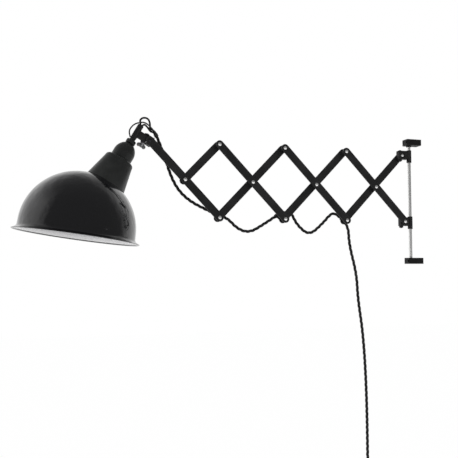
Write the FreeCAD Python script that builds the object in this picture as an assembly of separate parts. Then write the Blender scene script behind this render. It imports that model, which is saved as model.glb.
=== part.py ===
import FreeCAD, Part
import math
import os

# Wall-mounted accordion lamp. Millimetres, +Z up. The wall is the plane X = 0 and the
# lamp reaches out along -X; Y = 0 is halfway between the two layers of arm bars, and
# Z = 0 is halfway up the slide rod. The origin is the middle of the four wall holes.
V = FreeCAD.Vector

# ---- driving sizes ---------------------------------------------------------------
BAR_PITCH = 216.0       # between the two end holes of a full bar
BAR_W = 17.0
BAR_T = 3.0
BAR_BREAK = 0.35        # broken outer edges of the flat bars
FOLD_DEG = 46.25        # slope of the bars as the lamp stands
LAYER_GAP = 14.0        # between the front layer and the back layer

RIVET_D = 5.0
HEAD_LIP = 1.2          # a rivet head past its shank
HEAD_H = 2.0
SPACER_WALL = 2.5

ROD_D = 8.0
ROD_SPAN = 264.0        # clear between the two wall blocks
ROD_OUT = 26.6          # rod axis from the wall
PIN_OFF = 18.4          # a wall hinge's pivot from the rod
BOLT_OFF = 24.0         # its bolt from the rod
TOP_ROOM = 23.6         # upper pivot below the top block
BLOCK_L = 37.6          # out from the wall
BLOCK_W = 22.0
BLOCK_H = 14.0
BLOCK_FLOOR = 3.0       # left past the end of the rod
HOLE_DY = 15.0          # wall holes of one block
HOLE_D = 3.8
HOLE_HEAD_D = 5.2
COLLAR_H = 3.2
COLLAR_WALL = 1.6

SLEEVE_WALL = 1.44
SLEEVE_L = 28.0
FORK_H = 20.0
FORK_T = 2.2
BOLT_D = 5.0
BOLT_HEAD_LIP = 1.7
NUT_AF = 8.0
NUT_H = 4.0
WING_R = 10.9

HEAD_TILT = 30.0        # stem from the vertical
STEM_D = 8.0
STEM_OUT = 6.0          # stem above its sleeve

SHADE_TILT = 7.8
DOME_R = 115.0
SHADE_T = 1.0
RIM_OUT = 10.0          # the rim past the dome
SKIRT = 16.3            # the rim below the middle of the dome
DOME_HOLE_R = 37.0
NECK_BOTTOM_R = 41.9
NECK_TOP_R = 30.0
NECK_H = 59.4
NECK_T = 1.4
BELL_R = 22.0
BELL_H = 37.0
STEM_NUT_R = 10.2
STEM_NUT_H = 12.0
BULB_R = 30.0
BULB_L = 72.2           # glass below the lamp base
BASE_R = 13.0
HOLDER_R = 18.9

STRAND_D = 3.2          # each of the two strands that come out of the stem
CORD_D = 2 * STRAND_D   # the two laid together
EARTH_D = 2.0
CLIP_WALL = 1.4
CLIP_L = 9.0
COIL_R = 30.0
COIL_TURNS = 4

# ---- fits and clearances, tied to the same sizes ---------------------------------
PIVOT_FIT = 0.05        # radial, a bar or web turning on a rivet
SLIDE_FIT = 0.06        # radial, a sleeve on the rod and the rod in the blocks
BOLT_FIT = 0.05
SPIGOT_FIT = 0.3        # neck in the hole of the dome
CORD_FIT = 0.1          # cord in the stem
COIL_GAP = 0.7          # between one turn of the winding and the next
FACE_GAP = 0.1          # between flat faces that turn on each other
CLEAR = 0.5             # between hinge pieces that pass each other
WASHER_T = 0.7

ROD_R = ROD_D / 2
BORE_R = ROD_R + SLIDE_FIT
STEM_R = STEM_D / 2
STEM_SLEEVE_BORE = STEM_R + SLIDE_FIT
PIN_R = RIVET_D / 2
RIVET_HEAD_R = PIN_R + HEAD_LIP
HOLE_R = PIN_R + PIVOT_FIT
BOLT_R = BOLT_D / 2
CORD_R = CORD_D / 2
STRAND_R = STRAND_D / 2
COIL_LAY = CORD_D + COIL_GAP
A = math.radians(FOLD_DEG)
CX = BAR_PITCH * math.cos(A)
CZ = BAR_PITCH * math.sin(A)
A_FRONT = -(LAYER_GAP / 2 + BAR_T)
A_BACK = -LAYER_GAP / 2
B_FRONT = LAYER_GAP / 2
B_BACK = LAYER_GAP / 2 + BAR_T
FORK_Y0 = A_BACK + WASHER_T + FACE_GAP      # front face of a fork's web
FORK_Y1 = B_FRONT - WASHER_T
WEB_BACK = FORK_Y0 + FORK_T
LUG_R = -WEB_BACK - FACE_GAP                # the bolt sits halfway between the layers
LUG_Z = RIVET_HEAD_R + CLEAR
LUG_T = FORK_H / 2 - FORK_T - FACE_GAP - LUG_Z
ROD_SLEEVE_R = BORE_R + SLEEVE_WALL
STEM_SLEEVE_R = STEM_SLEEVE_BORE + SLEEVE_WALL
HEAD_BOLT_OFF = STEM_NUT_R + WING_R + CLEAR
WEB_X = LUG_R + CLEAR                       # head fork: the web starts this far past its bolt
HEAD_PIN_OFF = HEAD_BOLT_OFF + WEB_X + RIVET_HEAD_R + 2 * CLEAR
ROD_X = -ROD_OUT
PIN_X = ROD_X - PIN_OFF
PIVOT_Z = ROD_SPAN / 2 - TOP_ROOM

# heights along the stem, from the middle of the dome
SEAT = math.sqrt(DOME_R**2 - NECK_BOTTOM_R**2)
NECK_TOP = SEAT + NECK_H
BELL_TOP = NECK_TOP + BELL_H
NUT_TOP = BELL_TOP + STEM_NUT_H
HEAD_PIN_UP = NUT_TOP + CLEAR + SLEEVE_L / 2
STEM_TOP = HEAD_PIN_UP + SLEEVE_L / 2 + STEM_OUT
RIM_R = DOME_R + RIM_OUT
CORD_Y = B_BACK + FACE_GAP + HEAD_H + CLIP_WALL / 2 + CORD_R + 0.2

# pivots of the linkage in the X-Z plane, counted from the wall
BU = (PIN_X, PIVOT_Z)
BL = (PIN_X, PIVOT_Z - CZ)
TOP = [(PIN_X - CX * k, PIVOT_Z) for k in (1, 2, 3, 4)]
LOW = [(PIN_X - CX * k, PIVOT_Z - CZ) for k in (1, 2, 3)]
MID = [(PIN_X - CX * (k + 0.5), PIVOT_Z - CZ / 2) for k in (0, 1, 2, 3)]
T3, T2, T1, T0 = TOP
L3, L2, L1 = LOW
M4, M3, M2, M1 = MID

os.makedirs("parts", exist_ok=True)


def save(name, *shapes):
    whole = shapes[0] if len(shapes) == 1 else Part.makeCompound(list(shapes))
    whole.exportStep("parts/" + name + ".step")


def cyl(r, h, at=(0, 0, 0), axis=(0, 0, 1)):
    return Part.makeCylinder(r, h, V(*at), V(*axis))


def tube(ro, ri, h, at=(0, 0, 0), axis=(0, 0, 1)):
    return cyl(ro, h, at, axis).cut(cyl(ri, h + 2, tuple(a - b for a, b in zip(at, axis)), axis))


def box(x0, x1, y0, y1, z0, z1):
    return Part.makeBox(x1 - x0, y1 - y0, z1 - z0, V(x0, y0, z0))


def wire(steps):
    """A closed wire from [(point), ("arc", mid, point), ...]."""
    edges, here = [], steps[0]
    for s in list(steps[1:]) + [steps[0]]:
        if s[0] == "arc":
            edges.append(Part.Arc(V(*here), V(*s[1]), V(*s[2])).toShape())
            here = s[2]
        else:
            if (V(*here) - V(*s)).Length > 1e-6:
                edges.append(Part.LineSegment(V(*here), V(*s)).toShape())
            here = s
    return Part.Wire(edges)


def turned(profile):
    """A body turned about Z from (r, z) steps; an arc is ("arc", (r, z), (r, z))."""
    steps = []
    for s in profile:
        if s[0] == "arc":
            steps.append(("arc", (s[1][0], 0, s[1][1]), (s[2][0], 0, s[2][1])))
        else:
            steps.append((s[0], 0, s[1]))
    return Part.Face(wire(steps)).revolve(V(0, 0, 0), V(0, 0, 1), 360)


def on_y(shape, x, z):
    """Moves a shape made about Z so that its +Z runs along +Y through (x, z)."""
    s = shape.copy()
    turn = FreeCAD.Placement(V(x, 0, z), FreeCAD.Rotation(V(1, 0, 0), -90))
    s.Placement = turn.multiply(s.Placement)
    return s


def stadium(p, q, r, y0, y1):
    """A flat strip with round ends about p and q in the X-Z plane, from y0 to y1."""
    a, b = V(p[0], y0, p[1]), V(q[0], y0, q[1])
    d = (b - a).normalize()
    n = V(-d.z, 0, d.x)
    edges = [
        Part.LineSegment(a + n * r, b + n * r).toShape(),
        Part.Arc(b + n * r, b + d * r, b - n * r).toShape(),
        Part.LineSegment(b - n * r, a - n * r).toShape(),
        Part.Arc(a - n * r, a - d * r, a + n * r).toShape(),
    ]
    return Part.Face(Part.Wire(edges)).extrude(V(0, y1 - y0, 0))


def chamfered(shape, size, pick):
    edges = [e for e in shape.Edges if pick(e)]
    return shape.makeChamfer(size, edges)


def bar(holes, y0, hole_r):
    s = stadium(holes[0], holes[-1], BAR_W / 2, y0, y0 + BAR_T)
    s = chamfered(
        s,
        BAR_BREAK,
        lambda e: abs(e.BoundBox.YMin - e.BoundBox.YMax) < 1e-6,
    )
    for x, z in holes:
        s = s.cut(cyl(hole_r, BAR_T + 2, (x, y0 - 1, z), (0, 1, 0)))
    return s


def cap(r, z0, up, h, rim=0.35):
    """Steps of a round head on the face z0: a short rim, then a cap centred on the axis."""
    c = h - rim
    big = (r * r + c * c) / (2 * c)
    half = math.asin(r / big) / 2
    mid = (big * math.sin(half), z0 + up * (h - big + big * math.cos(half)))
    return [(r, z0), (r, z0 + up * rim), ("arc", mid, (0, z0 + up * h))]


def head_profile(z0, up):
    return [(0, z0)] + cap(RIVET_HEAD_R, z0, up, HEAD_H)


def rivet(x, z, front, back):
    """A through rivet from the front face to the back face, with both round heads."""
    s = cyl(PIN_R, back - front)
    s.translate(V(0, 0, front))
    s = s.fuse(turned(head_profile(front, -1))).fuse(turned(head_profile(back, 1)))
    return on_y(s.removeSplitter(), x, z)


def short_pin(x, z):
    """The pivot of a front bar on a fork web: round head in front, flat head inside."""
    inner = WEB_BACK + FACE_GAP
    s = cyl(PIN_R, inner - A_FRONT)
    s.translate(V(0, 0, A_FRONT))
    flat = cyl(RIVET_HEAD_R - 0.3, 1.2)
    flat.translate(V(0, 0, inner))
    return on_y(s.fuse(turned(head_profile(A_FRONT, -1))).fuse(flat).removeSplitter(), x, z)


def spacer(x, z, y0, y1, wall=SPACER_WALL):
    s = tube(PIN_R + wall, PIN_R, y1 - y0)
    s.translate(V(0, 0, y0))
    return on_y(s, x, z)


# ---- wall blocks and rod ---------------------------------------------------------
def wall_block(z0, rod_opens_up):
    r = 3.0
    s = box(-BLOCK_L, 0, -BLOCK_W / 2, BLOCK_W / 2, z0, z0 + BLOCK_H)
    s = s.makeFillet(
        r,
        [
            e
            for e in s.Edges
            if abs(e.BoundBox.XMin + BLOCK_L) < 1e-6
            and abs(e.BoundBox.XMax + BLOCK_L) < 1e-6
            and abs(e.BoundBox.ZMax - e.BoundBox.ZMin - BLOCK_H) < 1e-6
        ],
    )
    s = s.makeChamfer(
        0.5,
        [
            e
            for e in s.Edges
            if abs(e.BoundBox.ZMax - e.BoundBox.ZMin) < 1e-6 and e.BoundBox.XMin < -1
            or abs(e.BoundBox.ZMax - e.BoundBox.ZMin) < 1e-6 and e.BoundBox.XMax < -1
        ],
    )
    zm = z0 + BLOCK_H / 2
    for y in (-HOLE_DY / 2, HOLE_DY / 2):
        s = s.cut(cyl(HOLE_D / 2, BLOCK_L + 2, (-BLOCK_L - 1, y, zm), (1, 0, 0)))
        s = s.cut(cyl(HOLE_HEAD_D / 2, BLOCK_L - 6, (-BLOCK_L - 1, y, zm), (1, 0, 0)))
    depth = BLOCK_H - BLOCK_FLOOR
    at = z0 + BLOCK_H - depth if rod_opens_up else z0
    return s.cut(cyl(BORE_R, depth + 0.001, (ROD_X, 0, at - (0 if rod_opens_up else 0.001))))


HALF = ROD_SPAN / 2
save("wall_bracket_top", wall_block(HALF, False))
save("wall_bracket_bottom", wall_block(-HALF - BLOCK_H, True))

IN_BLOCK = BLOCK_H - BLOCK_FLOOR - FACE_GAP
rod = cyl(ROD_R, ROD_SPAN + 2 * IN_BLOCK, (ROD_X, 0, -HALF - IN_BLOCK))
rod = chamfered(rod, 0.5, lambda e: abs(e.BoundBox.ZMax - e.BoundBox.ZMin) < 1e-6)
save("slide_rod", rod)
collar = tube(ROD_R + COLLAR_WALL, ROD_R, COLLAR_H, (ROD_X, 0, HALF - FACE_GAP - COLLAR_H))
save("rod_collar", collar)


# ---- hinge units: sleeve with two lugs, fork, bolt -------------------------------
def sleeve(bore, bolt_off, screw):
    """About Z through the origin; the lugs point along -X."""
    outer = bore + SLEEVE_WALL
    s = cyl(outer, SLEEVE_L, (0, 0, -SLEEVE_L / 2))
    s = chamfered(s, 0.5, lambda e: abs(e.BoundBox.ZMax - e.BoundBox.ZMin) < 1e-6)
    lugs = []
    for z in (-LUG_Z - LUG_T, LUG_Z):
        plate = stadium((0, 0), (-bolt_off, 0), LUG_R, 0, LUG_T)
        plate.Placement = FreeCAD.Placement(
            V(0, 0, z + LUG_T), FreeCAD.Rotation(V(1, 0, 0), -90)
        )
        lugs.append(plate)
    s = s.fuse(lugs).removeSplitter()
    s = s.cut(cyl(bore, SLEEVE_L + 2, (0, 0, -SLEEVE_L / 2 - 1)))
    s = s.cut(cyl(BOLT_R + BOLT_FIT, FORK_H + 2, (-bolt_off, 0, -FORK_H / 2 - 1)))
    if screw:
        s = s.cut(cyl(2.0, 2 * outer, (0, 0, 0), (1, 0, 0)))
    return s


def set_screw(shaft, bore):
    """The hidden screw that locks a sleeve on its shaft, on the sleeve's +X side."""
    outer = bore + SLEEVE_WALL
    s = cyl(2.0, outer - shaft - 0.3, (shaft, 0, 0), (1, 0, 0))
    slot = box(outer - 0.9, outer + 1, -2.5, 2.5, -0.35, 0.35)
    return s.cut(slot)


def channel(x0, x1):
    """The bent sheet of a fork along X: web in front, two flanges pointing back."""
    h, t, ri = FORK_H / 2, FORK_T, 3 * FACE_GAP
    ro = ri + t
    k = 1 - math.sqrt(0.5)
    y0, y1 = FORK_Y0, FORK_Y1
    steps = [
        (x0, y1, -h),
        (x0, y1, -h + t),
        (x0, y0 + t + ri, -h + t),
        ("arc", (x0, y0 + t + ri * k, -h + t + ri * k), (x0, y0 + t, -h + t + ri)),
        (x0, y0 + t, h - t - ri),
        ("arc", (x0, y0 + t + ri * k, h - t - ri * k), (x0, y0 + t + ri, h - t)),
        (x0, y1, h - t),
        (x0, y1, h),
        (x0, y0 + ro, h),
        ("arc", (x0, y0 + ro * k, h - ro * k), (x0, y0, h - ro)),
        (x0, y0, -h + ro),
        ("arc", (x0, y0 + ro * k, -h + ro * k), (x0, y0 + ro, -h)),
    ]
    return Part.Face(wire(steps)).extrude(V(x1 - x0, 0, 0))


def plan(steps):
    """A prism taller than a fork from steps in the X-Y plane."""
    z = -FORK_H / 2 - 1
    out = []
    for s in steps:
        if s[0] == "arc":
            out.append(("arc", (s[1][0], s[1][1], z), (s[2][0], s[2][1], z)))
        else:
            out.append((s[0], s[1], z))
    return Part.Face(wire(out)).extrude(V(0, 0, FORK_H + 2))


def wall_fork():
    """Relative to the rod axis at X = 0; lies along -X, its web in front."""
    x0, x1, r = -BOLT_OFF - BOLT_R - BOLT_HEAD_LIP - 3 * CLEAR, -ROD_SLEEVE_R - 3 * CLEAR, 4.0
    k = r * (1 - math.sqrt(0.5))
    s = channel(x0, x1)
    s = s.common(
        plan(
            [
                (x0, FORK_Y0 - 1),
                (x1, FORK_Y0 - 1),
                (x1, FORK_Y1 - r),
                ("arc", (x1 - k, FORK_Y1 - k), (x1 - r, FORK_Y1)),
                (x0 + r, FORK_Y1),
                ("arc", (x0 + k, FORK_Y1 - k), (x0, FORK_Y1 - r)),
            ]
        )
    )
    s = s.cut(cyl(BOLT_R + BOLT_FIT, FORK_H + 2, (-BOLT_OFF, 0, -FORK_H / 2 - 1)))
    return s.cut(cyl(HOLE_R, 6, (-PIN_OFF, FORK_Y0 - 1, 0), (0, 1, 0)))


def head_fork():
    """Relative to the stem axis at X = 0; lies along +X, its web only past the bolt."""
    b, x1, r = HEAD_BOLT_OFF, HEAD_PIN_OFF + RIVET_HEAD_R + 3.3, -FORK_Y0
    xw = b + WEB_X
    s = channel(b - r, x1)
    s = s.cut(box(b - r - 1, xw, FORK_Y0 - 1, WEB_BACK + 0.7, -FORK_H / 2 + FORK_T, FORK_H / 2 - FORK_T))
    c = 3.0
    k = c * (1 - math.sqrt(0.5))
    s = s.common(
        plan(
            [
                (b, -r),
                (x1, -r),
                (x1, FORK_Y1 - c),
                ("arc", (x1 - k, FORK_Y1 - k), (x1 - c, FORK_Y1)),
                (b + 1.2, FORK_Y1),
                (b, r),
                ("arc", (b - r, 0), (b, -r)),
            ]
        )
    )
    s = s.cut(cyl(BOLT_R + BOLT_FIT, FORK_H + 2, (b, 0, -FORK_H / 2 - 1)))
    return s.cut(cyl(HOLE_R, 6, (HEAD_PIN_OFF, FORK_Y0 - 1, 0), (0, 1, 0)))


def bolt(x, below):
    """Round head on the upper flange, shank out through the lower one."""
    h = FORK_H / 2
    s = turned(
        [(0, -h - below), (BOLT_R - 0.5, -h - below), (BOLT_R, -h - below + 0.5), (BOLT_R, h)]
        + cap(BOLT_R + BOLT_HEAD_LIP, h, 1, 2.2, 0.5)
    )
    s.translate(V(x, 0, 0))
    return s


def hex_nut(x):
    h = FORK_H / 2
    r = NUT_AF / 2 / math.cos(math.pi / 6)
    pts = [
        V(x + r * math.cos(math.radians(30 + 60 * i)), r * math.sin(math.radians(30 + 60 * i)), -h - NUT_H)
        for i in range(7)
    ]
    s = Part.Face(Part.makePolygon(pts)).extrude(V(0, 0, NUT_H))
    rc = r + 0.08
    cone = turned([(0, -h - NUT_H), (rc - 0.7, -h - NUT_H), (rc, -h - NUT_H + 0.6), (rc, -h), (0, -h)])
    cone.translate(V(x, 0, 0))
    return s.common(cone).cut(cyl(BOLT_R, NUT_H + 2, (x, 0, -h - NUT_H - 1)))


def wing_nut(x):
    """Under the head fork: washer face, tapered hub and two swept wings."""
    h = FORK_H / 2
    top = -h - FACE_GAP
    hub = turned(
        [
            (0, top),
            (5.6, top),
            (5.6, top - 1.0),
            (4.6, top - 1.6),
            (3.7, top - 7.4),
            ("arc", (3.4, top - 7.9), (3.0, top - 8.0)),
            (0, top - 8.0),
        ]
    )
    wings = []
    for side in (1, -1):
        z = top
        steps = [
            (side * 2.6, -1.1, z - 1.8),
            (side * 4.4, -1.1, z - 1.8),
            ("arc", (side * 7.8, -1.1, z - 3.6), (side * (WING_R - 1.2), -1.1, z - 6.8)),
            ("arc", (side * WING_R, -1.1, z - 10.2), (side * (WING_R - 2.4), -1.1, z - 12.2)),
            ("arc", (side * 6.4, -1.1, z - 10.8), (side * 5.3, -1.1, z - 8.4)),
            ("arc", (side * 4.2, -1.1, z - 7.0), (side * 2.6, -1.1, z - 6.6)),
        ]
        wings.append(Part.Face(wire(steps)).extrude(V(0, 2.2, 0)))
    s = hub.fuse(wings).removeSplitter()
    s = s.cut(cyl(BOLT_R + BOLT_FIT, 12, (0, 0, top - 10)))
    s.translate(V(x, 0, 0))
    return s


def at(shape, x, y, z, deg=0.0):
    s = shape.copy()
    turn = FreeCAD.Placement(V(x, y, z), FreeCAD.Rotation(V(0, 1, 0), deg))
    s.Placement = turn.multiply(s.Placement)
    return s


for where, z, locked in (("upper", BU[1], True), ("lower", BL[1], False)):
    save(where + "_sleeve", at(sleeve(BORE_R, BOLT_OFF, locked), ROD_X, 0, z))
    fork = wall_fork().mirror(V(0, 0, 0), V(0, 1, 0)) if locked else wall_fork()
    save(where + "_fork", at(fork, ROD_X, 0, z))
    save(where + "_bolt", at(bolt(-BOLT_OFF, NUT_H + 1.0), ROD_X, 0, z), at(hex_nut(-BOLT_OFF), ROD_X, 0, z))
save("sleeve_screw", at(set_screw(ROD_R, BORE_R), ROD_X, 0, BU[1]))

# the upper fork is turned about, so its web carries the last back bar
inner = -WEB_BACK
pin = cyl(PIN_R, B_BACK + FACE_GAP - inner)
pin.translate(V(0, 0, inner))
flat_head = cyl(RIVET_HEAD_R - 0.3, 1.2)
flat_head.translate(V(0, 0, inner - 1.2))
pin = pin.fuse(flat_head).fuse(turned(head_profile(B_BACK + FACE_GAP, 1)))
save(
    "upper_pin",
    on_y(pin.removeSplitter(), *BU),
    spacer(*BU, -FORK_Y0, B_FRONT - FACE_GAP),
)

# ---- scissor bars, their rivets and distance tubes -------------------------------
FRONT = {1: (T0, M1, L1), 2: (T1, M2, L2), 3: (T2, M3, L3), 4: (T3, M4, BL)}
BACK = {1: (M1, T1), 2: (L1, M2, T2), 3: (L2, M3, T3), 4: (L3, M4, BU)}
THROUGH = {1: (M1, L1), 2: (T1, M2, L2), 3: (T2, M3, L3), 4: (T3, M4)}
FORKED = {1: (T0,), 2: (), 3: (), 4: (BL,)}
for k in (1, 2, 3, 4):
    save("front_bar_%d" % k, bar(FRONT[k], A_FRONT, PIN_R))
    save("back_bar_%d" % k, bar(BACK[k], B_FRONT, HOLE_R))
    save(
        "rivets_%d" % k,
        *[rivet(x, z, A_FRONT, B_BACK + FACE_GAP) for x, z in THROUGH[k]],
    )
    save(
        "spacers_%d" % k,
        *[spacer(x, z, A_BACK, B_FRONT - FACE_GAP) for x, z in THROUGH[k]],
        *[spacer(x, z, A_BACK, FORK_Y0 - FACE_GAP) for x, z in FORKED[k]],
    )
save("lower_pin", short_pin(*BL))
save("head_pin", short_pin(*T0))

# ---- lamp head, turned about the stem axis and then leaned -----------------------
t = math.radians(HEAD_TILT)
U = V(math.sin(t), 0, math.cos(t))
W = V(math.cos(t), 0, -math.sin(t))
S = V(T0[0], 0, T0[1]) - U * HEAD_PIN_UP - W * HEAD_PIN_OFF


def in_head(shape, up=0.0):
    p = S + U * up
    return at(shape, p.x, p.y, p.z, HEAD_TILT)


save("head_fork", in_head(head_fork(), HEAD_PIN_UP))
save("wing_bolt", in_head(bolt(HEAD_BOLT_OFF, 11.0), HEAD_PIN_UP))
save("wing_nut", in_head(wing_nut(HEAD_BOLT_OFF), HEAD_PIN_UP))
flip = sleeve(STEM_SLEEVE_BORE, HEAD_BOLT_OFF, True)
flip.rotate(V(0, 0, 0), V(0, 0, 1), 180)
save("head_sleeve", in_head(flip, HEAD_PIN_UP))
lock = set_screw(STEM_R, STEM_SLEEVE_BORE)
lock.rotate(V(0, 0, 0), V(0, 0, 1), 180)
save("head_screw", in_head(lock, HEAD_PIN_UP))

STEM_BORE_R = STRAND_D + CORD_FIT
HOLDER_TOP = BELL_TOP - 3.6
stem = turned(
    [
        (STEM_BORE_R, HOLDER_TOP - 12.0),
        (STEM_R, HOLDER_TOP - 12.0),
        (STEM_R, STEM_TOP - 0.3),
        (STEM_R - 0.25, STEM_TOP),
        (STEM_BORE_R + 0.15, STEM_TOP),
        (STEM_BORE_R, STEM_TOP - 0.3),
    ]
)
save("stem_tube", in_head(stem))

# stem nut: round base on the bell, waisted up to the stem
rn, zn = STEM_NUT_R, BELL_TOP
save(
    "stem_nut",
    in_head(
        turned(
            [
                (STEM_R, zn),
                (rn, zn),
                (rn, zn + 0.58 * STEM_NUT_H),
                (rn - 0.6, zn + 0.65 * STEM_NUT_H),
                (rn - 2.8, zn + 0.72 * STEM_NUT_H),
                ("arc", (STEM_R + 2.2, zn + 0.8 * STEM_NUT_H), (STEM_R + 1.9, zn + STEM_NUT_H)),
                (STEM_R, zn + STEM_NUT_H),
            ]
        )
    ),
)

# socket cap: the bell over the top of the neck
b, bt, zb, zt = BELL_R, NECK_T, NECK_TOP, BELL_TOP
save(
    "socket_cap",
    in_head(
        turned(
            [
                (STEM_R, zt - bt),
                (STEM_R, zt),
                (STEM_R + 3.0, zt),
                ("arc", (b * 0.74, zt - 0.21 * BELL_H), (b, zt - 0.62 * BELL_H)),
                (b, zb),
                (b - bt, zb),
                (b - bt, zt - 0.62 * BELL_H),
                ("arc", (b * 0.74 - 0.75 * bt, zt - 0.21 * BELL_H - 0.75 * bt), (STEM_R + 3.0, zt - bt)),
            ]
        )
    ),
)

# shade neck: spun cone standing on the dome, with a short spigot through its hole
r0, r1, nt = NECK_BOTTOM_R, NECK_TOP_R, NECK_T
seat_in = DOME_HOLE_R - SPIGOT_FIT
z_in = math.sqrt(DOME_R**2 - seat_in**2)
r_mid = (r0 + seat_in) / 2
SPIGOT = 7.0
z_low = math.sqrt((DOME_R - SHADE_T) ** 2 - 44.0**2) - 4.0
save(
    "shade_neck",
    in_head(
        turned(
            [
                (r0, SEAT),
                (r0 - 0.6, SEAT + 2.4),
                (r1 + 0.5, NECK_TOP - 8.0),
                ("arc", (r1 - 1.2, NECK_TOP - 2.9), (r1 - 5.6, NECK_TOP - 0.5)),
                (r1 - 7.4, NECK_TOP),
                (HOLDER_R + CLEAR, NECK_TOP),
                (HOLDER_R + CLEAR, NECK_TOP - nt),
                (r1 - 7.6, NECK_TOP - nt),
                ("arc", (r1 - 2.6, NECK_TOP - 3.8), (r1 - 1.0, NECK_TOP - 8.2)),
                (seat_in - nt, SEAT + 7.0),
                (seat_in - nt, z_low),
                (seat_in, z_low),
                (seat_in, z_in),
                ("arc", (r_mid, math.sqrt(DOME_R**2 - r_mid**2)), (r0, SEAT)),
            ]
        )
    ),
)

# ring nut that draws the neck down on the dome, seated on the dome's inner face
RING_IN = DOME_R - SHADE_T
ri0, ri1 = seat_in, seat_in + 7.3
r_mid = (ri0 + ri1) / 2
save(
    "neck_ring",
    in_head(
        turned(
            [
                (ri0, z_low + 0.6),
                (ri1 - 1.0, z_low + 0.6),
                (ri1, z_low + 1.6),
                (ri1, math.sqrt(RING_IN**2 - ri1**2)),
                (
                    "arc",
                    (r_mid, math.sqrt(RING_IN**2 - r_mid**2)),
                    (ri0, math.sqrt(RING_IN**2 - ri0**2)),
                ),
            ]
        )
    ),
)

# lampholder on the lower end of the stem, and the bulb in it
hr, ht, br = HOLDER_R, HOLDER_TOP, BASE_R
HOLDER_MOUTH = ht - 67.5
save(
    "lampholder",
    in_head(
        turned(
            [
                (STEM_R, ht - 14.0),
                (STEM_R, ht),
                (STEM_R + 2.5, ht),
                (STEM_R + 3.0, ht - 3.5),
                ("arc", (hr - 2.9, ht - 8.5), (hr + 0.1, ht - 17.5)),
                (hr + 0.5, ht - 18.5),
                (hr + 0.5, ht - 23.5),
                (hr, ht - 24.5),
                (hr, HOLDER_MOUTH + 5.0),
                (hr + 1.3, HOLDER_MOUTH + 4.0),
                (hr + 1.3, HOLDER_MOUTH + 1.0),
                (hr + 0.3, HOLDER_MOUTH),
                (br + 1.2, HOLDER_MOUTH),
                (br + 1.2, ht - 22.0),
                (6.0, ht - 22.0),
                (6.0, ht - 14.0),
            ]
        )
    ),
)
zb0 = HOLDER_MOUTH - 2.3
save(
    "bulb_base",
    in_head(
        turned(
            [
                (0, zb0 + 27.3),
                (5.0, zb0 + 27.3),
                (6.2, zb0 + 24.8),
                (br - 2.4, zb0 + 22.4),
                (br, zb0 + 21.0),
                (br, zb0 + 1.4),
                (br - 0.8, zb0),
                (0, zb0),
            ]
        )
    ),
)
# glass: round bowl, a tangent flank up to the lamp base
zc = zb0 - BULB_L + BULB_R
side = math.radians(24.0)
flank = (BULB_R * math.cos(side), zc + BULB_R * math.sin(side))
save(
    "bulb_glass",
    in_head(
        turned(
            [
                (0, zb0),
                (br - 1.0, zb0),
                (br + 0.6, zb0 - 3.2),
                flank,
                ("arc", (BULB_R * math.cos(math.radians(-33)), zc + BULB_R * math.sin(math.radians(-33))), (0, zc - BULB_R)),
            ]
        )
    ),
)

# shade: spun dome with a short skirt and a turned-out rim, holed for the neck
RO, RI = DOME_R, DOME_R - SHADE_T
q = math.sqrt(0.5)
shade = turned(
    [
        (0, RO),
        ("arc", (RO * q, RO * q), (RO, 0)),
        (RO + 0.2, -5.0),
        ("arc", (RO + 1.3, -9.6), (RO + 4.4, -12.6)),
        (RIM_R - 0.8, -SKIRT + 0.9),
        ("arc", (RIM_R, -SKIRT + 0.2), (RIM_R - 0.4, -SKIRT - 0.5)),
        ("arc", (RIM_R - 1.2, -SKIRT - 0.6), (RIM_R - 1.7, -SKIRT + 0.1)),
        (RO + 3.6, -13.8),
        ("arc", (RO + 0.2, -10.3), (RI + 0.2, -5.0)),
        (RI, 0),
        ("arc", (RI * q, RI * q), (0, RI)),
    ]
)
shade = at(shade, S.x, S.y, S.z, SHADE_TILT)
shade = shade.cut(in_head(cyl(DOME_HOLE_R, 60, (0, 0, 80))))
save("shade", shade)


# ---- cord: plain runs with rounded corners ---------------------------------------
def route(points, radius):
    """Lines joined by tangent arcs through the given corner points."""
    p = [V(*a) for a in points]
    edges, here = [], p[0]
    for i in range(1, len(p) - 1):
        a = (p[i - 1] - p[i]).normalize()
        c = (p[i + 1] - p[i]).normalize()
        half = a.getAngle(c) / 2
        room = 0.49 * min((p[i - 1] - p[i]).Length, (p[i + 1] - p[i]).Length)
        d = min(radius / math.tan(half), room)
        r = d * math.tan(half)
        start, end = p[i] + a * d, p[i] + c * d
        m = (a + c).normalize()
        mid = p[i] + m * (r / math.sin(half) - r)
        edges.append(Part.LineSegment(here, start).toShape())
        edges.append(Part.Arc(start, mid, end).toShape())
        here = end
    edges.append(Part.LineSegment(here, p[-1]).toShape())
    return Part.Wire(edges)


def hose(path, r):
    first = path.Edges[0]
    start = first.valueAt(first.FirstParameter)
    out = first.tangentAt(first.FirstParameter)
    ring = Part.Wire(Part.Circle(start, out, r).toShape())
    return path.makePipeShell([ring], True, False)


def cord(points, radius, r=CORD_R):
    return hose(route(points, radius), r)


def flat(*xz):
    return [(x, CORD_Y, z) for x, z in xz]


def by_stem(up, side, y=0.0):
    """A point counted from the stem's open end: up along it, to its right, and in Y."""
    p = S + U * (STEM_TOP + up) + W * side
    return (p.x, p.y + y, p.z)


TIE_R, TIE_L = CORD_R + 1.3, 7.0
TIE = V(T0[0] + 16.5, 13.0, T0[1] + 15.6)
down = V(0.46, 0.06, -0.88).normalize()
tie_top = TIE - down * (TIE_L / 2 - 1.0)
outward = down.cross(V(0, 1, 0)).normalize()      # across the tie, away from the stem
forward = down.cross(outward).normalize()


def in_tie(back, out, front=0.0):
    """A point counted from the strands' end in the tie: back along it and across it."""
    return tuple(tie_top - down * back + outward * out + forward * front)


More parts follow.
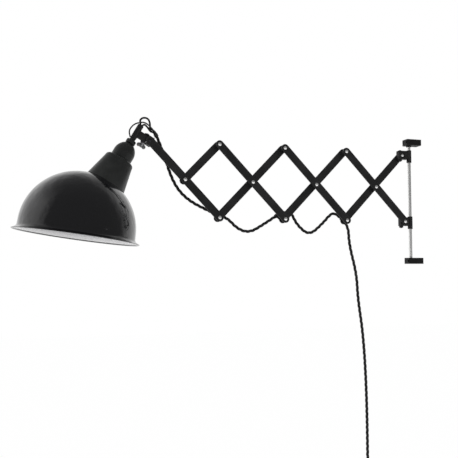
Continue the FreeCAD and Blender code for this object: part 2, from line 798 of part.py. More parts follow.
beside_axis = STRAND_R + 0.02
save(
    "cord_curl",
    cord(
        [
            by_stem(-12.0, -beside_axis),
            by_stem(2.5, -beside_axis),
            by_stem(6.7, -7.7, 0.5),
            by_stem(18.5, -4.3, 1.5),
            by_stem(24.2, 6.1, 3.0),
            by_stem(12.9, 17.2, 6.0),
            in_tie(7.0, beside_axis),
            in_tie(0.0, beside_axis),
        ],
        8.5,
        STRAND_R,
    ),
)
save(
    "cord_lead",
    cord(
        [
            by_stem(-12.0, beside_axis),
            by_stem(5.6, beside_axis),
            by_stem(6.6, 13.9, 4.0),
            by_stem(3.6, 23.7, 9.0),
            in_tie(5.0, -beside_axis),
            in_tie(0.0, -beside_axis),
        ],
        8.0,
        STRAND_R,
    ),
)
EARTH_R = EARTH_D / 2
reach = STEM_R + 1.9 + EARTH_R + 0.05
save(
    "earth_wire",
    cord(
        [
            by_stem(NUT_TOP - 0.5 - STEM_TOP, -reach * 0.866, -reach * 0.5),
            by_stem(-29.2, -13.2, -5.0),
            by_stem(-19.8, -15.7, -7.0),
            by_stem(-7.4, -12.5, -8.0),
            by_stem(1.0, -4.7, -8.0),
            by_stem(6.5, 2.3, -6.5),
            by_stem(8.1, 12.0, -2.0),
            in_tie(7.0, 0.0, 2.16),
            in_tie(0.0, 0.0, 2.16),
        ],
        8.0,
        EARTH_R,
    ),
)
tie = tube(TIE_R, CORD_R, TIE_L, tuple(TIE - down * (TIE_L / 2)), tuple(down))
save("cord_tie_head", tie)
start = TIE + down * (TIE_L / 2 - 1.0) + down * 0.05
save(
    "cord_head",
    cord(
        [
            tuple(start),
            tuple(start + down * 8.0),
            (T0[0] + 31.5, CORD_Y, T0[1] - 12.0),
            (T0[0] + 38.4, CORD_Y, T0[1] - 44.0),
        ],
        16.0,
    ),
)


def beside(pivot, x, z, deg):
    """A clip's centre on the cord's line near a pivot, and the cord's direction in it."""
    a = math.radians(deg)
    return V(pivot[0] + x, CORD_Y, pivot[1] + z), V(math.cos(a), 0, math.sin(a))


HOLD_1 = beside(L1, 0.0, 9.5, -15.0)
HOLD_2 = beside(L2, -11.0, 9.0, 33.0)
HOLD_3 = beside(L3, 0.0, 3.5, -41.0)
END_GAP = 0.3           # between a clip's middle and each cord end in it
LEAD = CLIP_L / 2 + 7.0


def into(hold):
    c, d = hold
    return [tuple(c - d * LEAD), tuple(c - d * END_GAP)]


def out_of(hold):
    c, d = hold
    return [tuple(c + d * END_GAP), tuple(c + d * LEAD)]


loop1 = flat(
    (T0[0] + 38.7, T0[1] - 44.7),
    (T0[0] + 55.0, T0[1] - 84.0),
    (T0[0] + 80.0, T0[1] - 118.0),
)
save("cord_run_1", cord(loop1 + into(HOLD_1), 60.0))
loop2 = [
    tuple(HOLD_1[0] + HOLD_1[1] * 21.7),
    (L1[0] + 48.0, CORD_Y, L1[1] - 23.0),
    (L1[0] + 74.5, CORD_Y, L1[1] - 29.5),
    tuple(HOLD_2[0] - HOLD_2[1] * 42.0),
]
save("cord_run_2", cord(out_of(HOLD_1)[:1] + loop2 + into(HOLD_2)[1:], 26.0))
loop3 = flat(
    (L2[0] + 22.5, L2[1] + 18.5),
    (L2[0] + 36.5, L2[1] - 10.5),
    (L2[0] + 66.5, L2[1] - 34.5),
    (L2[0] + 98.5, L2[1] - 8.5),
    (L2[0] + 124.0, L2[1] + 19.5),
)
save("cord_run_3", cord(out_of(HOLD_2) + loop3 + into(HOLD_3), 18.0))


def clip(pivot, hold):
    """A saddle on a rivet's tail that holds the cord."""
    c, d = hold
    x, z = pivot
    y0 = B_BACK + FACE_GAP + HEAD_H
    base = stadium((x, z), (c.x, c.z), RIVET_HEAD_R + 1.3, y0, y0 + CLIP_WALL / 2 + 0.1)
    ring = Part.makeCylinder(CORD_R + CLIP_WALL, CLIP_L, c - d * (CLIP_L / 2), d)
    core = Part.makeCylinder(CORD_R, CLIP_L + 2, c - d * (CLIP_L / 2 + 1), d)
    s = base.fuse(ring).removeSplitter().cut(core)
    return s.common(box(x - 60, x + 60, y0, CORD_Y + 20, z - 60, z + 60))


save("cord_clip_1", clip(L1, HOLD_1))
save("cord_clip_2", clip(L2, HOLD_2))
save("cord_clip_3", clip(L3, HOLD_3))

DROP_X, DROP_TURN = L3[0] + 56.4, -622.0


def turn_point(k):
    """The winding's centreline after k half turns, and its direction there."""
    a = math.pi * k
    place = V(
        DROP_X - COIL_R + COIL_R * math.cos(a),
        CORD_Y + COIL_LAY * k / 2,
        DROP_TURN - COIL_R * math.sin(a),
    )
    way = V(-COIL_R * math.sin(a), COIL_LAY / (2 * math.pi), -COIL_R * math.cos(a))
    if k in (0, 2 * COIL_TURNS):
        way = V(0, 0, -1)
    return place, way.normalize()


def biarc(p, d, q, e):
    """Two tangent arcs from p along d to q along e, with equal end lengths."""
    v, t, den = q - p, d + e, 2 * (1 - d.dot(e))
    reach = (-v.dot(t) + math.sqrt(v.dot(t) ** 2 + den * v.dot(v))) / den
    m = ((p + d * reach) + (q - e * reach)) * 0.5
    out = []
    for a, way, b, sign in ((p, d, m, 1), (q, e, m, -1)):
        chord = b - a
        side = (chord - way * chord.dot(way)).normalize()
        r = chord.Length**2 / (2 * abs(chord.dot(side)))
        c = a + side * r
        mid = c + ((a - c) + (b - c)).normalize() * r
        if (way * sign).dot(chord) < 0:
            mid = c - ((a - c) + (b - c)).normalize() * r
        out.append(Part.Arc(a, mid, b) if sign > 0 else Part.Arc(b, mid, a))
    return out


# the free end: the drop, the wound spare length and the tail into the plug, one tube
drop = route(
    [
        out_of(HOLD_3)[0],
        tuple(HOLD_3[0] + HOLD_3[1] * 19.2),
        (L3[0] + 22.0, CORD_Y, L3[1] - 62.0),
        (L3[0] + 37.0, CORD_Y, L3[1] - 150.0),
        (L3[0] + 49.0, CORD_Y, L3[1] - 262.0),
        (DROP_X, CORD_Y, -440.0),
        (DROP_X, CORD_Y, DROP_TURN),
    ],
    90.0,
)
edges = list(drop.Edges)
for k in range(2 * COIL_TURNS):
    edges += [a.toShape() for a in biarc(*turn_point(k), *turn_point(k + 1))]
end_y = CORD_Y + COIL_LAY * COIL_TURNS
PLUG_X = DROP_X - 6.0
tail = route(
    [
        (DROP_X, end_y, DROP_TURN),
        (DROP_X, end_y, DROP_TURN - 20.0),
        (PLUG_X, end_y, DROP_TURN - 46.0),
        (PLUG_X, end_y, DROP_TURN - 62.0),
    ],
    14.0,
)
edges += list(tail.Edges)
whole_drop = Part.Wire(edges)
save("cord_drop", hose(whole_drop, CORD_R))

pts = []
for e in whole_drop.Edges:
    pts += e.discretize(max(2, int(e.Length / 2.0) + 1))[:-1]
along, run = [], 0.0
for i, a in enumerate(pts):
    run += (a - pts[i - 1]).Length if i else 0.0
    along.append(run)
near = min(
    (a - c).Length
    for i, a in enumerate(pts)
    for j, c in enumerate(pts[:i])
    if along[i] - along[j] > 3 * CORD_D
)
print("free cord %.0f mm long, least gap to itself %.2f mm" % (run, near - CORD_D))

tx = DROP_X - 2 * COIL_R
bow = COIL_R - math.sqrt(COIL_R**2 - 4.5**2)
y_low, y_high = CORD_Y + COIL_LAY / 2 - CORD_R, CORD_Y + COIL_LAY * (COIL_TURNS - 0.5) + CORD_R
hollow = box(tx - CORD_R - 0.15, tx + CORD_R + bow + 0.15, y_low - 0.15, y_high + 0.15, DROP_TURN - 6, DROP_TURN + 6)
band = box(tx - CORD_R - 1.45, tx + CORD_R + bow + 1.45, y_low - 1.45, y_high + 1.45, DROP_TURN - 4.5, DROP_TURN + 4.5)
band = band.makeFillet(1.3, [e for e in band.Edges if e.BoundBox.ZMax - e.BoundBox.ZMin > 8])
save("cord_tie", band.cut(hollow))

PLUG_Z = DROP_TURN - 60.0
px = PLUG_X
plug = turned(
    [
        (CORD_R, 0),
        (4.6, 0),
        (5.2, -10.0),
        ("arc", (8.6, -15.5), (15.5, -18.0)),
        ("arc", (17.8, -19.6), (18.4, -22.5)),
        (18.4, -40.0),
        (17.4, -41.0),
        (0, -41.0),
        (0, -2.5),
        (CORD_R, -2.5),
    ]
)
plug.translate(V(px, end_y, PLUG_Z))
save("plug_body", plug)
pins = []
for side in (-9.5, 9.5):
    p = turned([(0, -41.0), (2.4, -41.0)] + cap(2.4, -58.0, -1, 2.0, 0.6))
    p.translate(V(px + side, end_y, PLUG_Z))
    pins.append(p)
save("plug_pins", *pins)
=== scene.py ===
"""Wall lamp on an accordion arm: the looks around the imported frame.

+Z is up, the wall is the plane X = 0 and the arm reaches towards -X. Lengths are millimetres
where a shape or a place is worked out, and metres in meshes, materials, lights and the camera.
"""

import math

import bmesh
import bpy
from mathutils import Matrix, Vector


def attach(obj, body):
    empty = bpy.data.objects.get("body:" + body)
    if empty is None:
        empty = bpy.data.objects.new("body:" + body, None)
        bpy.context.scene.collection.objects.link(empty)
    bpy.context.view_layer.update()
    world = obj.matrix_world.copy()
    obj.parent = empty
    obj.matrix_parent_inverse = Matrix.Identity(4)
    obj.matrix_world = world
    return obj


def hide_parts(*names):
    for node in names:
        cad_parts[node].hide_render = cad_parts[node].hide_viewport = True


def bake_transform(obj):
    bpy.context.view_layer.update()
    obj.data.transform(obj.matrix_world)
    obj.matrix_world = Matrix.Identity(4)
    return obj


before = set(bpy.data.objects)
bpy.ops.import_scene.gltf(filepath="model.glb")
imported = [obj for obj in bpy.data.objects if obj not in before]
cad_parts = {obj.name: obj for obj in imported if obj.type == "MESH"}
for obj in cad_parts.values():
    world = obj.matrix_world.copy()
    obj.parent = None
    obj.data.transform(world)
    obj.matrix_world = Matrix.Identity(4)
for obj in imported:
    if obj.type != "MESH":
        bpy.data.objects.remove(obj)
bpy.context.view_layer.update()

MM = 0.001

# ---- places that the lamp's pieces share, as in the CAD source ----------------------
PITCH = 216.0  # between the end pivots of a bar
FOLD = math.radians(46.25)  # slope of the bars in the pose of the photograph
STEP_X, STEP_Z = PITCH * math.cos(FOLD), PITCH * math.sin(FOLD)
ROD_X, PIN_X, TOP_Z = -26.6, -45.0, 108.4
LOW_Z, MID_Z = TOP_Z - STEP_Z, TOP_Z - STEP_Z / 2
# the arm's pivots: tops, lows and crossings, numbered as the bars are, from the lamp head inwards
T3, T2, T1, T0 = [(PIN_X - STEP_X * k, TOP_Z) for k in (1, 2, 3, 4)]
L3, L2, L1 = [(PIN_X - STEP_X * k, LOW_Z) for k in (1, 2, 3)]
M4, M3, M2, M1 = [(PIN_X - STEP_X * (k + 0.5), MID_Z) for k in (0, 1, 2, 3)]
BAR_FRONT, BAR_BACK = -10.0, 10.1  # outer faces of the two layers of bars, in Y
CORD_Y, CORD_D, STRAND_D, EARTH_D = 16.2, 6.4, 3.2, 2.0
STRAND_SEEN, EARTH_SEEN = 4.0, 2.9  # the strands and the wire are drawn thicker than in the CAD

LEAN = math.radians(30.0)  # the stem's lean from the vertical
UP = Vector((math.sin(LEAN), 0, math.cos(LEAN)))
SIDE = Vector((math.cos(LEAN), 0, -math.sin(LEAN)))
# up the stem and to its side, from the dome's centre
HEAD_PIN_UP, HEAD_PIN_OFF, STEM_TOP = 230.0, 30.7, 250.0
DOME = Vector((T0[0], 0, T0[1])) - UP * HEAD_PIN_UP - SIDE * HEAD_PIN_OFF
STEM_R, NUT_COLLAR, NUT_TOP = 4.0, 1.9, 215.5  # the collar is the wall round the stem


# ---- shader wiring -------------------------------------------------------------------
OBJECT_PLACE = 3  # Texture Coordinate's output in the piece's own coordinates
DRAWN_OUT = 0.004  # squeeze of a pattern that turns its lumps into long marks


class Signal:
    """One value in a node tree; sums on it become Math nodes."""

    def __init__(self, finish, socket):
        self.finish, self.socket = finish, socket

    def maths(self, operation, *others):
        return self.finish.add("Math", {"operation": operation}, self, *others)[0]

    def __add__(self, other):
        return self.maths("ADD", other)

    def __sub__(self, other):
        return self.maths("SUBTRACT", other)

    def __rsub__(self, other):
        return self.finish.add("Math", {"operation": "SUBTRACT"}, other, self)[0]

    def __mul__(self, other):
        return self.maths("MULTIPLY", other)

    def __truediv__(self, other):
        return self.maths("DIVIDE", other)

    def above(self, edge):
        return self.maths("GREATER_THAN", edge)

    def top(self, other):
        return self.maths("MAXIMUM", other)

    def size(self):
        return self.maths("ABSOLUTE")

    def root(self):
        return self.maths("SQRT")

    def turn_from(self, across):
        return self.maths("ARCTAN2", across)

    def wave(self):
        return self.maths("SINE")

    def within(self, low, high, to_low=0.0, to_high=1.0):
        """This number's place between low and high, as a smooth step between the last two."""
        settings = {"interpolation_type": "SMOOTHSTEP"}
        return self.finish.add("MapRange", settings, self, low, high, to_low, to_high)[0]


class Finish:
    """A node tree under construction, a new material's or one that is handed in."""

    def __init__(self, name, tree=None):
        if tree is None:
            self.material = bpy.data.materials.new(name)
            self.material.use_nodes = True
            tree = self.material.node_tree
        self.tree = tree
        tree.nodes.clear()

    def new(self, kind):
        return self.tree.nodes.new("ShaderNode" + kind)

    def add(self, kind, settings=None, *values, **named):
        """Adds a node with these settings, feeds its inputs and gives its enabled outputs."""
        node = self.new(kind)
        for key, value in (settings or {}).items():
            setattr(node, key, value)
        for socket, value in zip(node.inputs, values):
            self.feed(socket, value)
        for key, value in named.items():
            self.feed(node.inputs[key.replace("_", " ")], value)
        return [Signal(self, s) for s in node.outputs if s.enabled]

    def feed(self, socket, value):
        """Links a signal to the socket or sets its number or colour; None leaves it as it is."""
        if isinstance(value, Signal):
            self.tree.links.new(value.socket, socket)
        elif value is not None:
            if isinstance(value, tuple) and len(value) == 3 and socket.type == "RGBA":
                value = (*value, 1.0)
            socket.default_value = value

    def place(self, scale=(1, 1, 1)):
        """The piece's own coordinates, squeezed along each axis by this much."""
        at = self.add("TexCoord")[OBJECT_PLACE]
        return self.add("Mapping", None, Vector=at, Scale=scale)[0]

    def noise(self, size, detail, rough=0.5, at=None):
        """Cloudy variation from 0 to 1 whose lumps are about size metres across."""
        sockets = {"Scale": 1 / size, "Detail": detail, "Roughness": rough}
        return self.add("TexNoise", None, Vector=at or self.place(), **sockets)[0]

    def tint(self, factor, first, second):
        """A colour from first to second as the factor goes from 0 to 1."""
        node = self.add("Mix", {"data_type": "RGBA"}, factor)[0].socket.node
        for socket, value in zip([s for s in node.inputs if s.type == "RGBA"], (first, second)):
            self.feed(socket, value)
        return Signal(self, [s for s in node.outputs if s.type == "RGBA"][0])

    def relief(self, height, distance, strength, under=None):
        """A bumpy normal, as high as distance metres, on top of the relief under it."""
        sockets = {"Height": height, "Distance": distance, "Strength": strength, "Normal": under}
        return self.add("Bump", None, **sockets)[0]

    def rays(self):
        """Whether a ray comes from the camera, off a mirrored surface or through a clear one."""
        node = self.new("LightPath")
        kinds = ("Is Camera Ray", "Is Glossy Ray", "Is Transmission Ray")
        return [Signal(self, node.outputs[kind]) for kind in kinds]

    def surface(self, **sockets):
        shader = self.add("BsdfPrincipled", None, **sockets)[0]
        self.add("OutputMaterial", None, shader)
        return self.material


def enamel(name, colour, rough, wobble):
    """Fired gloss enamel: a glassy coat over a flat ground, with the faint waviness of the dip."""
    f = Finish(name)
    waves = f.noise(0.022, 2.0, 0.45)
    specks = f.noise(0.0011, 2.0, 0.6)
    pits = f.noise(0.0036, 3.0, 0.6)
    lumps = f.relief(waves, 0.0012 * wobble, 1.0)
    skin = f.relief(pits, 0.00006, 0.5, lumps)
    darker = tuple(c * 0.8 for c in colour)
    return f.surface(
        Base_Color=f.tint(specks.within(0.35, 0.75), colour, darker),
        Roughness=waves.within(0.3, 0.7, rough, rough * 1.5) + pits.within(0.5, 0.8) * 0.03,
        Specular_IOR_Level=0.46,
        Coat_Weight=0.3,
        Coat_Roughness=0.08,
        Normal=skin,
    )


def powder_coat(name, colour, rough, grain=0.0006):
    """Baked satin paint: fine orange peel, slight cloudiness and a few rubbed places."""
    f = Finish(name)
    peel = f.noise(grain, 3.0, 0.55)
    cloud = f.noise(0.035, 3.0, 0.5)
    rub = f.noise(0.008, 4.0, 0.65)
    lighter = tuple(c * 1.7 + 0.004 for c in colour)
    return f.surface(
        Base_Color=f.tint(cloud.within(0.35, 0.7) * 0.6, colour, lighter),
        Roughness=cloud.within(0.3, 0.7, rough, rough + 0.08) - rub.within(0.58, 0.75) * 0.12,
        Specular_IOR_Level=0.25,
        Normal=f.relief(peel, 0.00005, 0.6),
    )


def drawn_metal(name, colour, rough, along, width, dull=0.3):
    """Metal with fine marks of this width drawn along one axis, and patchy polish."""
    f = Finish(name)
    stretched = f.place(tuple(DRAWN_OUT if axis == along else 1.0 for axis in "XYZ"))
    marks = f.noise(width, 2.0, 0.5, stretched)
    patch = f.noise(0.02, 2.0, 0.5)
    dim = tuple(c * (1 - dull) for c in colour)
    grain = marks.within(0.3, 0.7, rough, rough * 1.5)
    return f.surface(
        Base_Color=f.tint(patch.within(0.35, 0.75) * 0.7, colour, dim),
        Metallic=1.0,
        Roughness=grain + patch.within(0.45, 0.8) * (rough * 0.25),
        Normal=f.relief(marks, 0.00001, 0.5),
    )


def zinc_plate(name):
    """Dull zinc plating: spangled, and clouded by handling."""
    f = Finish(name)
    spangle = f.add("TexVoronoi", {"feature": "F1"}, Vector=f.place(), Scale=900.0)[1]
    cloud = f.noise(0.004, 3.0, 0.6)
    grey = f.tint(cloud.within(0.3, 0.75), (0.36, 0.36, 0.37), (0.17, 0.17, 0.18))
    return f.surface(
        Base_Color=f.tint(0.12, grey, spangle),
        Metallic=1.0,
        Roughness=cloud.within(0.3, 0.7, 0.28, 0.5),
        Normal=f.relief(f.noise(0.0005, 2.0), 0.00003, 0.5),
    )


def braided(name, colour, cells, pitch):
    """Cotton braid: two crossing sets of yarns, laid along and round a strand, with painted shade
    in the dips between the yarns and painted highlights where they cross.
    """
    f = Finish(name)
    laid = f.add("Attribute", {"attribute_name": "laid"})[1]
    along, right, ahead = f.add("SeparateXYZ", None, laid)
    around = ahead.turn_from(right) * cells
    lay = along * (2 * math.pi / pitch)
    a, b = (lay + around).wave(), (lay - around).wave()
    yarns = a.size().top(b.size())
    # painted highlight: the yarns are lighter where one set crosses over the other
    painted_crossing_highlight = (a * b).within(-0.6, 0.6)
    fuzz = f.noise(0.0003, 3.0, 0.7)
    wear = f.noise(0.02, 2.0, 0.5)
    # the lighter colour serves the painted highlights and the worn patches; the darker one is
    # painted shade in the dips between the yarns
    light = tuple(c * 2.2 + 0.002 for c in colour)
    painted_crevice_shade = tuple(c * 0.35 for c in colour)
    yarn_with_painted_highlight = f.tint(painted_crossing_highlight * 0.6 + fuzz.within(0.4, 0.75) * 0.4, colour, light)
    yarn_with_painted_shade = f.tint(yarns.within(0.25, 0.7), painted_crevice_shade, yarn_with_painted_highlight)
    return f.surface(
        Base_Color=f.tint(wear.within(0.4, 0.8) * 0.25, yarn_with_painted_shade, light),
        Roughness=fuzz.within(0.3, 0.7, 0.72, 0.92),
        Specular_IOR_Level=0.25,
        Sheen_Weight=0.06,
        Sheen_Roughness=0.5,
        Normal=f.relief(yarns + fuzz * 0.35, 0.00018, 0.9),
    )


def moulded(name, colour, rough, grain=0.0004, specular=0.45):
    """Moulded plastic or rubber: faint flow marks and a fine grain from the tool."""
    f = Finish(name)
    flow = f.noise(0.012, 2.0, 0.5)
    grit = f.noise(grain, 2.0, 0.6)
    lighter = tuple(min(1.0, c * 1.25 + 0.003) for c in colour)
    return f.surface(
        Base_Color=f.tint(flow.within(0.35, 0.7), colour, lighter),
        Roughness=flow.within(0.3, 0.7, rough, rough + 0.1),
        Specular_IOR_Level=specular,
        Normal=f.relief(grit, 0.00002, 0.5),
    )


def opal_glass(name):
    """Milky glass that lets little through."""
    f = Finish(name)
    milk = f.noise(0.018, 2.0, 0.5)
    return f.surface(
        Base_Color=f.tint(milk, (0.93, 0.92, 0.89), (0.86, 0.85, 0.82)),
        Roughness=milk.within(0.3, 0.7, 0.10, 0.18),
        Transmission_Weight=0.15,
        IOR=1.48,
        Coat_Weight=0.4,
        Coat_Roughness=0.05,
    )


BLACK_ENAMEL = enamel("black_fired_enamel", (0.0028, 0.0028, 0.0036), 0.085, 1.0)
WHITE_ENAMEL = enamel("white_fired_enamel", (0.79, 0.79, 0.80), 0.22, 0.6)
ARM_PAINT = powder_coat("arm_powder_coat", (0.0088, 0.0088, 0.0091), 0.46)
BLOCK_PAINT = powder_coat("block_powder_coat", (0.0035, 0.0035, 0.0038), 0.5, 0.0008)
NECK_PAINT = powder_coat("neck_satin_paint", (0.0120, 0.0128, 0.0125), 0.36, 0.0007)
ROD_STEEL = drawn_metal("polished_rod_steel", (0.93, 0.93, 0.92), 0.26, "Z", 0.0005, 0.1)
PIN_STEEL = drawn_metal("rivet_steel", (0.93, 0.93, 0.92), 0.28, "Y", 0.0005, 0.08)
DARK_STEEL = drawn_metal("blackened_steel", (0.055, 0.055, 0.06), 0.36, "Y", 0.0006, 0.4)
ZINC = zinc_plate("zinc_plating")
BRAID = braided("black_cotton_braid", (0.0060, 0.0059, 0.0059), 5, 0.0026)
WIRE_SKIN = moulded("wire_skin", (0.010, 0.010, 0.010), 0.42)
CLIP_SKIN = moulded("clip_nylon", (0.010, 0.010, 0.010), 0.40)
BAKELITE = moulded("holder_bakelite", (0.014, 0.011, 0.009), 0.22)
RING_WHITE = moulded("ring_white_plastic", (0.78, 0.78, 0.76), 0.36)
BRASS = drawn_metal("lamp_cap_brass", (0.66, 0.52, 0.28), 0.24, "Z", 0.0006)
OPAL = opal_glass("bulb_opal_glass")
RUBBER = moulded("plug_rubber", (0.012, 0.012, 0.012), 0.55, 0.0005, 0.35)
NICKEL = drawn_metal("plug_nickel", (0.74, 0.71, 0.66), 0.2, "Z", 0.0006)


# ---- growing meshes from rules ---------------------------------------------------------
class Rule(Finish):
    """A Geometry Nodes tree with named inputs, wired in the same way as a finish."""

    KINDS = {
        float: "NodeSocketFloat",
        int: "NodeSocketInt",
        bpy.types.Material: "NodeSocketMaterial",
        bpy.types.Object: "NodeSocketObject",
    }

    def __init__(self, name, **inputs):
        """Each input is given as its usual number, or as the type of data that it takes."""
        tree = bpy.data.node_groups.new(name, "GeometryNodeTree")
        super().__init__(name, tree)
        tree.interface.new_socket("Shape", in_out="OUTPUT", socket_type="NodeSocketGeometry")
        tree.interface.new_socket("Shape", in_out="INPUT", socket_type="NodeSocketGeometry")
        self.dials = {}
        for label, value in inputs.items():
            kind = value if isinstance(value, type) else type(value)
            dial = tree.interface.new_socket(label, in_out="INPUT", socket_type=self.KINDS[kind])
            if not isinstance(value, type):
                dial.default_value = value
            self.dials[label] = dial.identifier
        source = tree.nodes.new("NodeGroupInput")
        self.shape = Signal(self, source.outputs[0])
        for label in inputs:
            setattr(self, label.lower(), Signal(self, source.outputs[label]))

    def new(self, kind):
        families = ("GeometryNode", "ShaderNode", "FunctionNode")
        return self.tree.nodes.new(next(f + kind for f in families if hasattr(bpy.types, f + kind)))

    def keep(self, shape, label, value, data="FLOAT"):
        """The shape with a value stored on each of its points under this label."""
        settings = {"data_type": data, "domain": "POINT"}
        return self.add("StoreNamedAttribute", settings, Geometry=shape, Name=label, Value=value)[0]

    def kept(self, label):
        return self.add("InputNamedAttribute", {"data_type": "FLOAT"}, Name=label)[0]

    def sampled(self, shape, data, value, index):
        """The value that the shape has at the point with this index."""
        settings = {"data_type": data}
        return self.add("SampleIndex", settings, Geometry=shape, Value=value, Index=index)[0]

    def realized(self, shape):
        return self.add("RealizeInstances", None, Geometry=shape)[0]

    def painted(self, shape, finish, where=None):
        return self.add("SetMaterial", None, Geometry=shape, Material=finish, Selection=where)[0]

    def done(self, shape):
        end = self.tree.nodes.new("NodeGroupOutput")
        self.tree.links.new(shape.socket, end.inputs[0])
        return self


def linked(name, data):
    """A new object around this data, in the scene."""
    thing = bpy.data.objects.new(name, data)
    bpy.context.collection.objects.link(thing)
    return thing


def applied(piece, modifier):
    """Gives the piece the mesh that the modifier makes of it, and takes the modifier off."""
    graph = bpy.context.evaluated_depsgraph_get()
    result = bpy.data.meshes.new_from_object(
        piece.evaluated_get(graph), preserve_all_data_layers=True, depsgraph=graph
    )
    piece.modifiers.remove(modifier)
    piece.data = result
    return result


def grown(name, mesh, rule, **dials):
    """The piece that a rule makes of a mesh, with the rule's inputs set to these values."""
    piece = linked(name, mesh)
    step = piece.modifiers.new(name, "NODES")
    step.node_group = rule.tree
    for label, value in dials.items():
        step[rule.dials[label]] = value
    applied(piece, step).name = name
    bpy.data.meshes.remove(mesh)
    return piece


def turning_rule():
    """Turns a chain of (radius, 0, height) points about Z; points marked as lining are lined."""
    r = Rule("turned", Steps=96, Outside=bpy.types.Material, Lining=bpy.types.Material)
    rings = r.add("AttributeDomainSize", {"component": "MESH"}, Geometry=r.shape)[0]
    around, size = r.steps + 1, {"Size_X": 1.0, "Size_Y": 1.0}
    grid = r.add("MeshGrid", None, Vertices_X=rings, Vertices_Y=around, **size)[0]
    index = r.add("InputIndex")[0]
    ring = (index / around + 0.00001).maths("FLOOR")
    turn = (index - ring * around) / r.steps * (2 * math.pi)
    at = r.sampled(r.shape, "FLOAT_VECTOR", r.add("InputPosition")[0], ring)
    lined = r.sampled(r.shape, "FLOAT", r.kept("lining"), ring)
    radius, _, height = r.add("SeparateXYZ", None, at)
    across, painted_crevice_shade = radius * turn.maths("COSINE"), radius * turn.maths("SINE")
    spot = r.add("CombineXYZ", None, across, painted_crevice_shade, height)[0]
    wall = r.keep(grid, "lining", lined)
    wall = r.add("SetPosition", None, Geometry=wall, Position=spot)[0]
    wall = r.add("MergeByDistance", None, Geometry=wall, Distance=0.000002)[0]
    wall = r.painted(r.realized(wall), r.outside)
    return r.done(r.painted(wall, r.lining, r.kept("lining").above(0.9)))


def cord_rule():
    """Three strands laid round each other along a chain of points, or one where Spread is 0."""
    sizes = {"Pitch": 0.036, "Strand": 0.00165, "Spread": 0.00185, "Step": 0.0012, "Sides": 36}
    r = Rule("laid_cord", **sizes, Skin=bpy.types.Material)
    line = r.add("MeshToCurve", None, r.shape)[0]
    line = r.add("ResampleCurve", {"mode": "LENGTH"}, Curve=line, Length=r.step)[0]
    along = r.add("SplineParameter")[1]
    line = r.keep(line, "run", along)
    line = r.add("SetCurveTilt", None, Curve=line, Tilt=along * (2 * math.pi) / r.pitch)[0]
    ring = r.add("CurvePrimitiveCircle", {"mode": "RADIUS"}, Resolution=r.sides, Radius=1.0)[0]
    right, ahead, _ = r.add("SeparateXYZ", None, r.add("InputPosition")[0])
    ring = r.keep(r.keep(ring, "right", right), "ahead", ahead)
    near = right.top(ahead.size() * (math.sqrt(3) / 2) - right * 0.5)
    reach = near * r.spread + (r.strand * r.strand - r.spread * r.spread * (1 - near * near)).root()
    spot = r.add("CombineXYZ", None, right * reach, ahead * reach, 0.0)[0]
    ring = r.add("SetPosition", None, Geometry=ring, Position=spot)[0]
    skin = r.add("CurveToMesh", None, Curve=line, Profile_Curve=ring, Fill_Caps=True)[0]
    laid = r.add("CombineXYZ", None, r.kept("run"), r.kept("right"), r.kept("ahead"))[0]
    skin = r.keep(skin, "laid", laid, data="FLOAT_VECTOR")
    skin = r.add("SetShadeSmooth", None, Geometry=skin)[0]
    return r.done(r.painted(r.realized(skin), r.skin))


def riveting_rule():
    """Puts a copy of one fastener on every point."""
    r = Rule("riveting", Fastener=bpy.types.Object, Skin=bpy.types.Material)
    one = r.add("ObjectInfo", {"transform_space": "ORIGINAL"}, Object=r.fastener)
    heads = r.add("InstanceOnPoints", None, Points=r.shape, Instance=one[-1])[0]
    return r.done(r.painted(r.realized(heads), r.skin))


TURNED, LAID_CORD, RIVETED = turning_rule(), cord_rule(), riveting_rule()


def arc(start, through, end, steps):
    """Points on the circle through three (radius, height) points, after the first."""
    (ax, ay), (bx, by), (cx, cy) = start, through, end
    d = 2 * (ax * (by - cy) + bx * (cy - ay) + cx * (ay - by))
    a2, b2, c2 = (x**2 + y**2 for x, y in (start, through, end))
    ux = (a2 * (by - cy) + b2 * (cy - ay) + c2 * (ay - by)) / d
    uy = (a2 * (cx - bx) + b2 * (ax - cx) + c2 * (bx - ax)) / d
    first, mid, last = (math.atan2(y - uy, x - ux) for x, y in (start, through, end))
    whole = 2 * math.pi
    sweep, half = (last - first) % whole, (mid - first) % whole
    if half > sweep:
        sweep -= whole
    size = math.hypot(ax - ux, ay - uy)
    angles = [first + sweep * k / steps for k in range(1, steps + 1)]
    return [(ux + size * math.cos(a), uy + size * math.sin(a)) for a in angles]


def outline(*steps):
    """A profile from (radius, height) points and (through, end, steps) arcs."""
    points = [steps[0]]
    for step in steps[1:]:
        points += arc(points[-1], *step) if len(step) == 3 else [step]
    return points


SHARP_EDGE = math.radians(32.0)  # an edge that turns by more than this is not shaded over


def settled(piece, at, lean, about_y=False):
    """Outward faces, soft shading between sharp edges, and the piece's place put into its mesh."""
    mesh = piece.data
    work = bmesh.new()
    work.from_mesh(mesh)
    bmesh.ops.recalc_face_normals(work, faces=work.faces)
    work.to_mesh(mesh)
    work.free()
    mesh.shade_smooth()
    mesh.set_sharp_from_angle(angle=SHARP_EDGE)
    if at is not None:
        angle, axis = (math.radians(-90), "X") if about_y else (lean, "Y")
        mesh.transform(Matrix.Translation(at * MM) @ Matrix.Rotation(angle, 4, axis))
    return piece


def turned(
    name, profile, finish, lining=None, lined=(), at=None, lean=0.0, steps=96, about_y=False
):
    """A piece turned from a closed profile, whose points numbered in lined take the lining."""
    chain = bpy.data.meshes.new(name)
    loop = profile + ([profile[0]] if profile[0][0] > 0 else [])
    chain.from_pydata([(r * MM, 0, z * MM) for r, z in loop], [], [])
    marks = chain.attributes.new("lining", "FLOAT", "POINT")
    for k, mark in enumerate(marks.data):
        mark.value = float(k in lined)
    piece = grown(name, chain, TURNED, Steps=steps, Outside=finish, Lining=lining or finish)
    return settled(piece, at, lean, about_y)


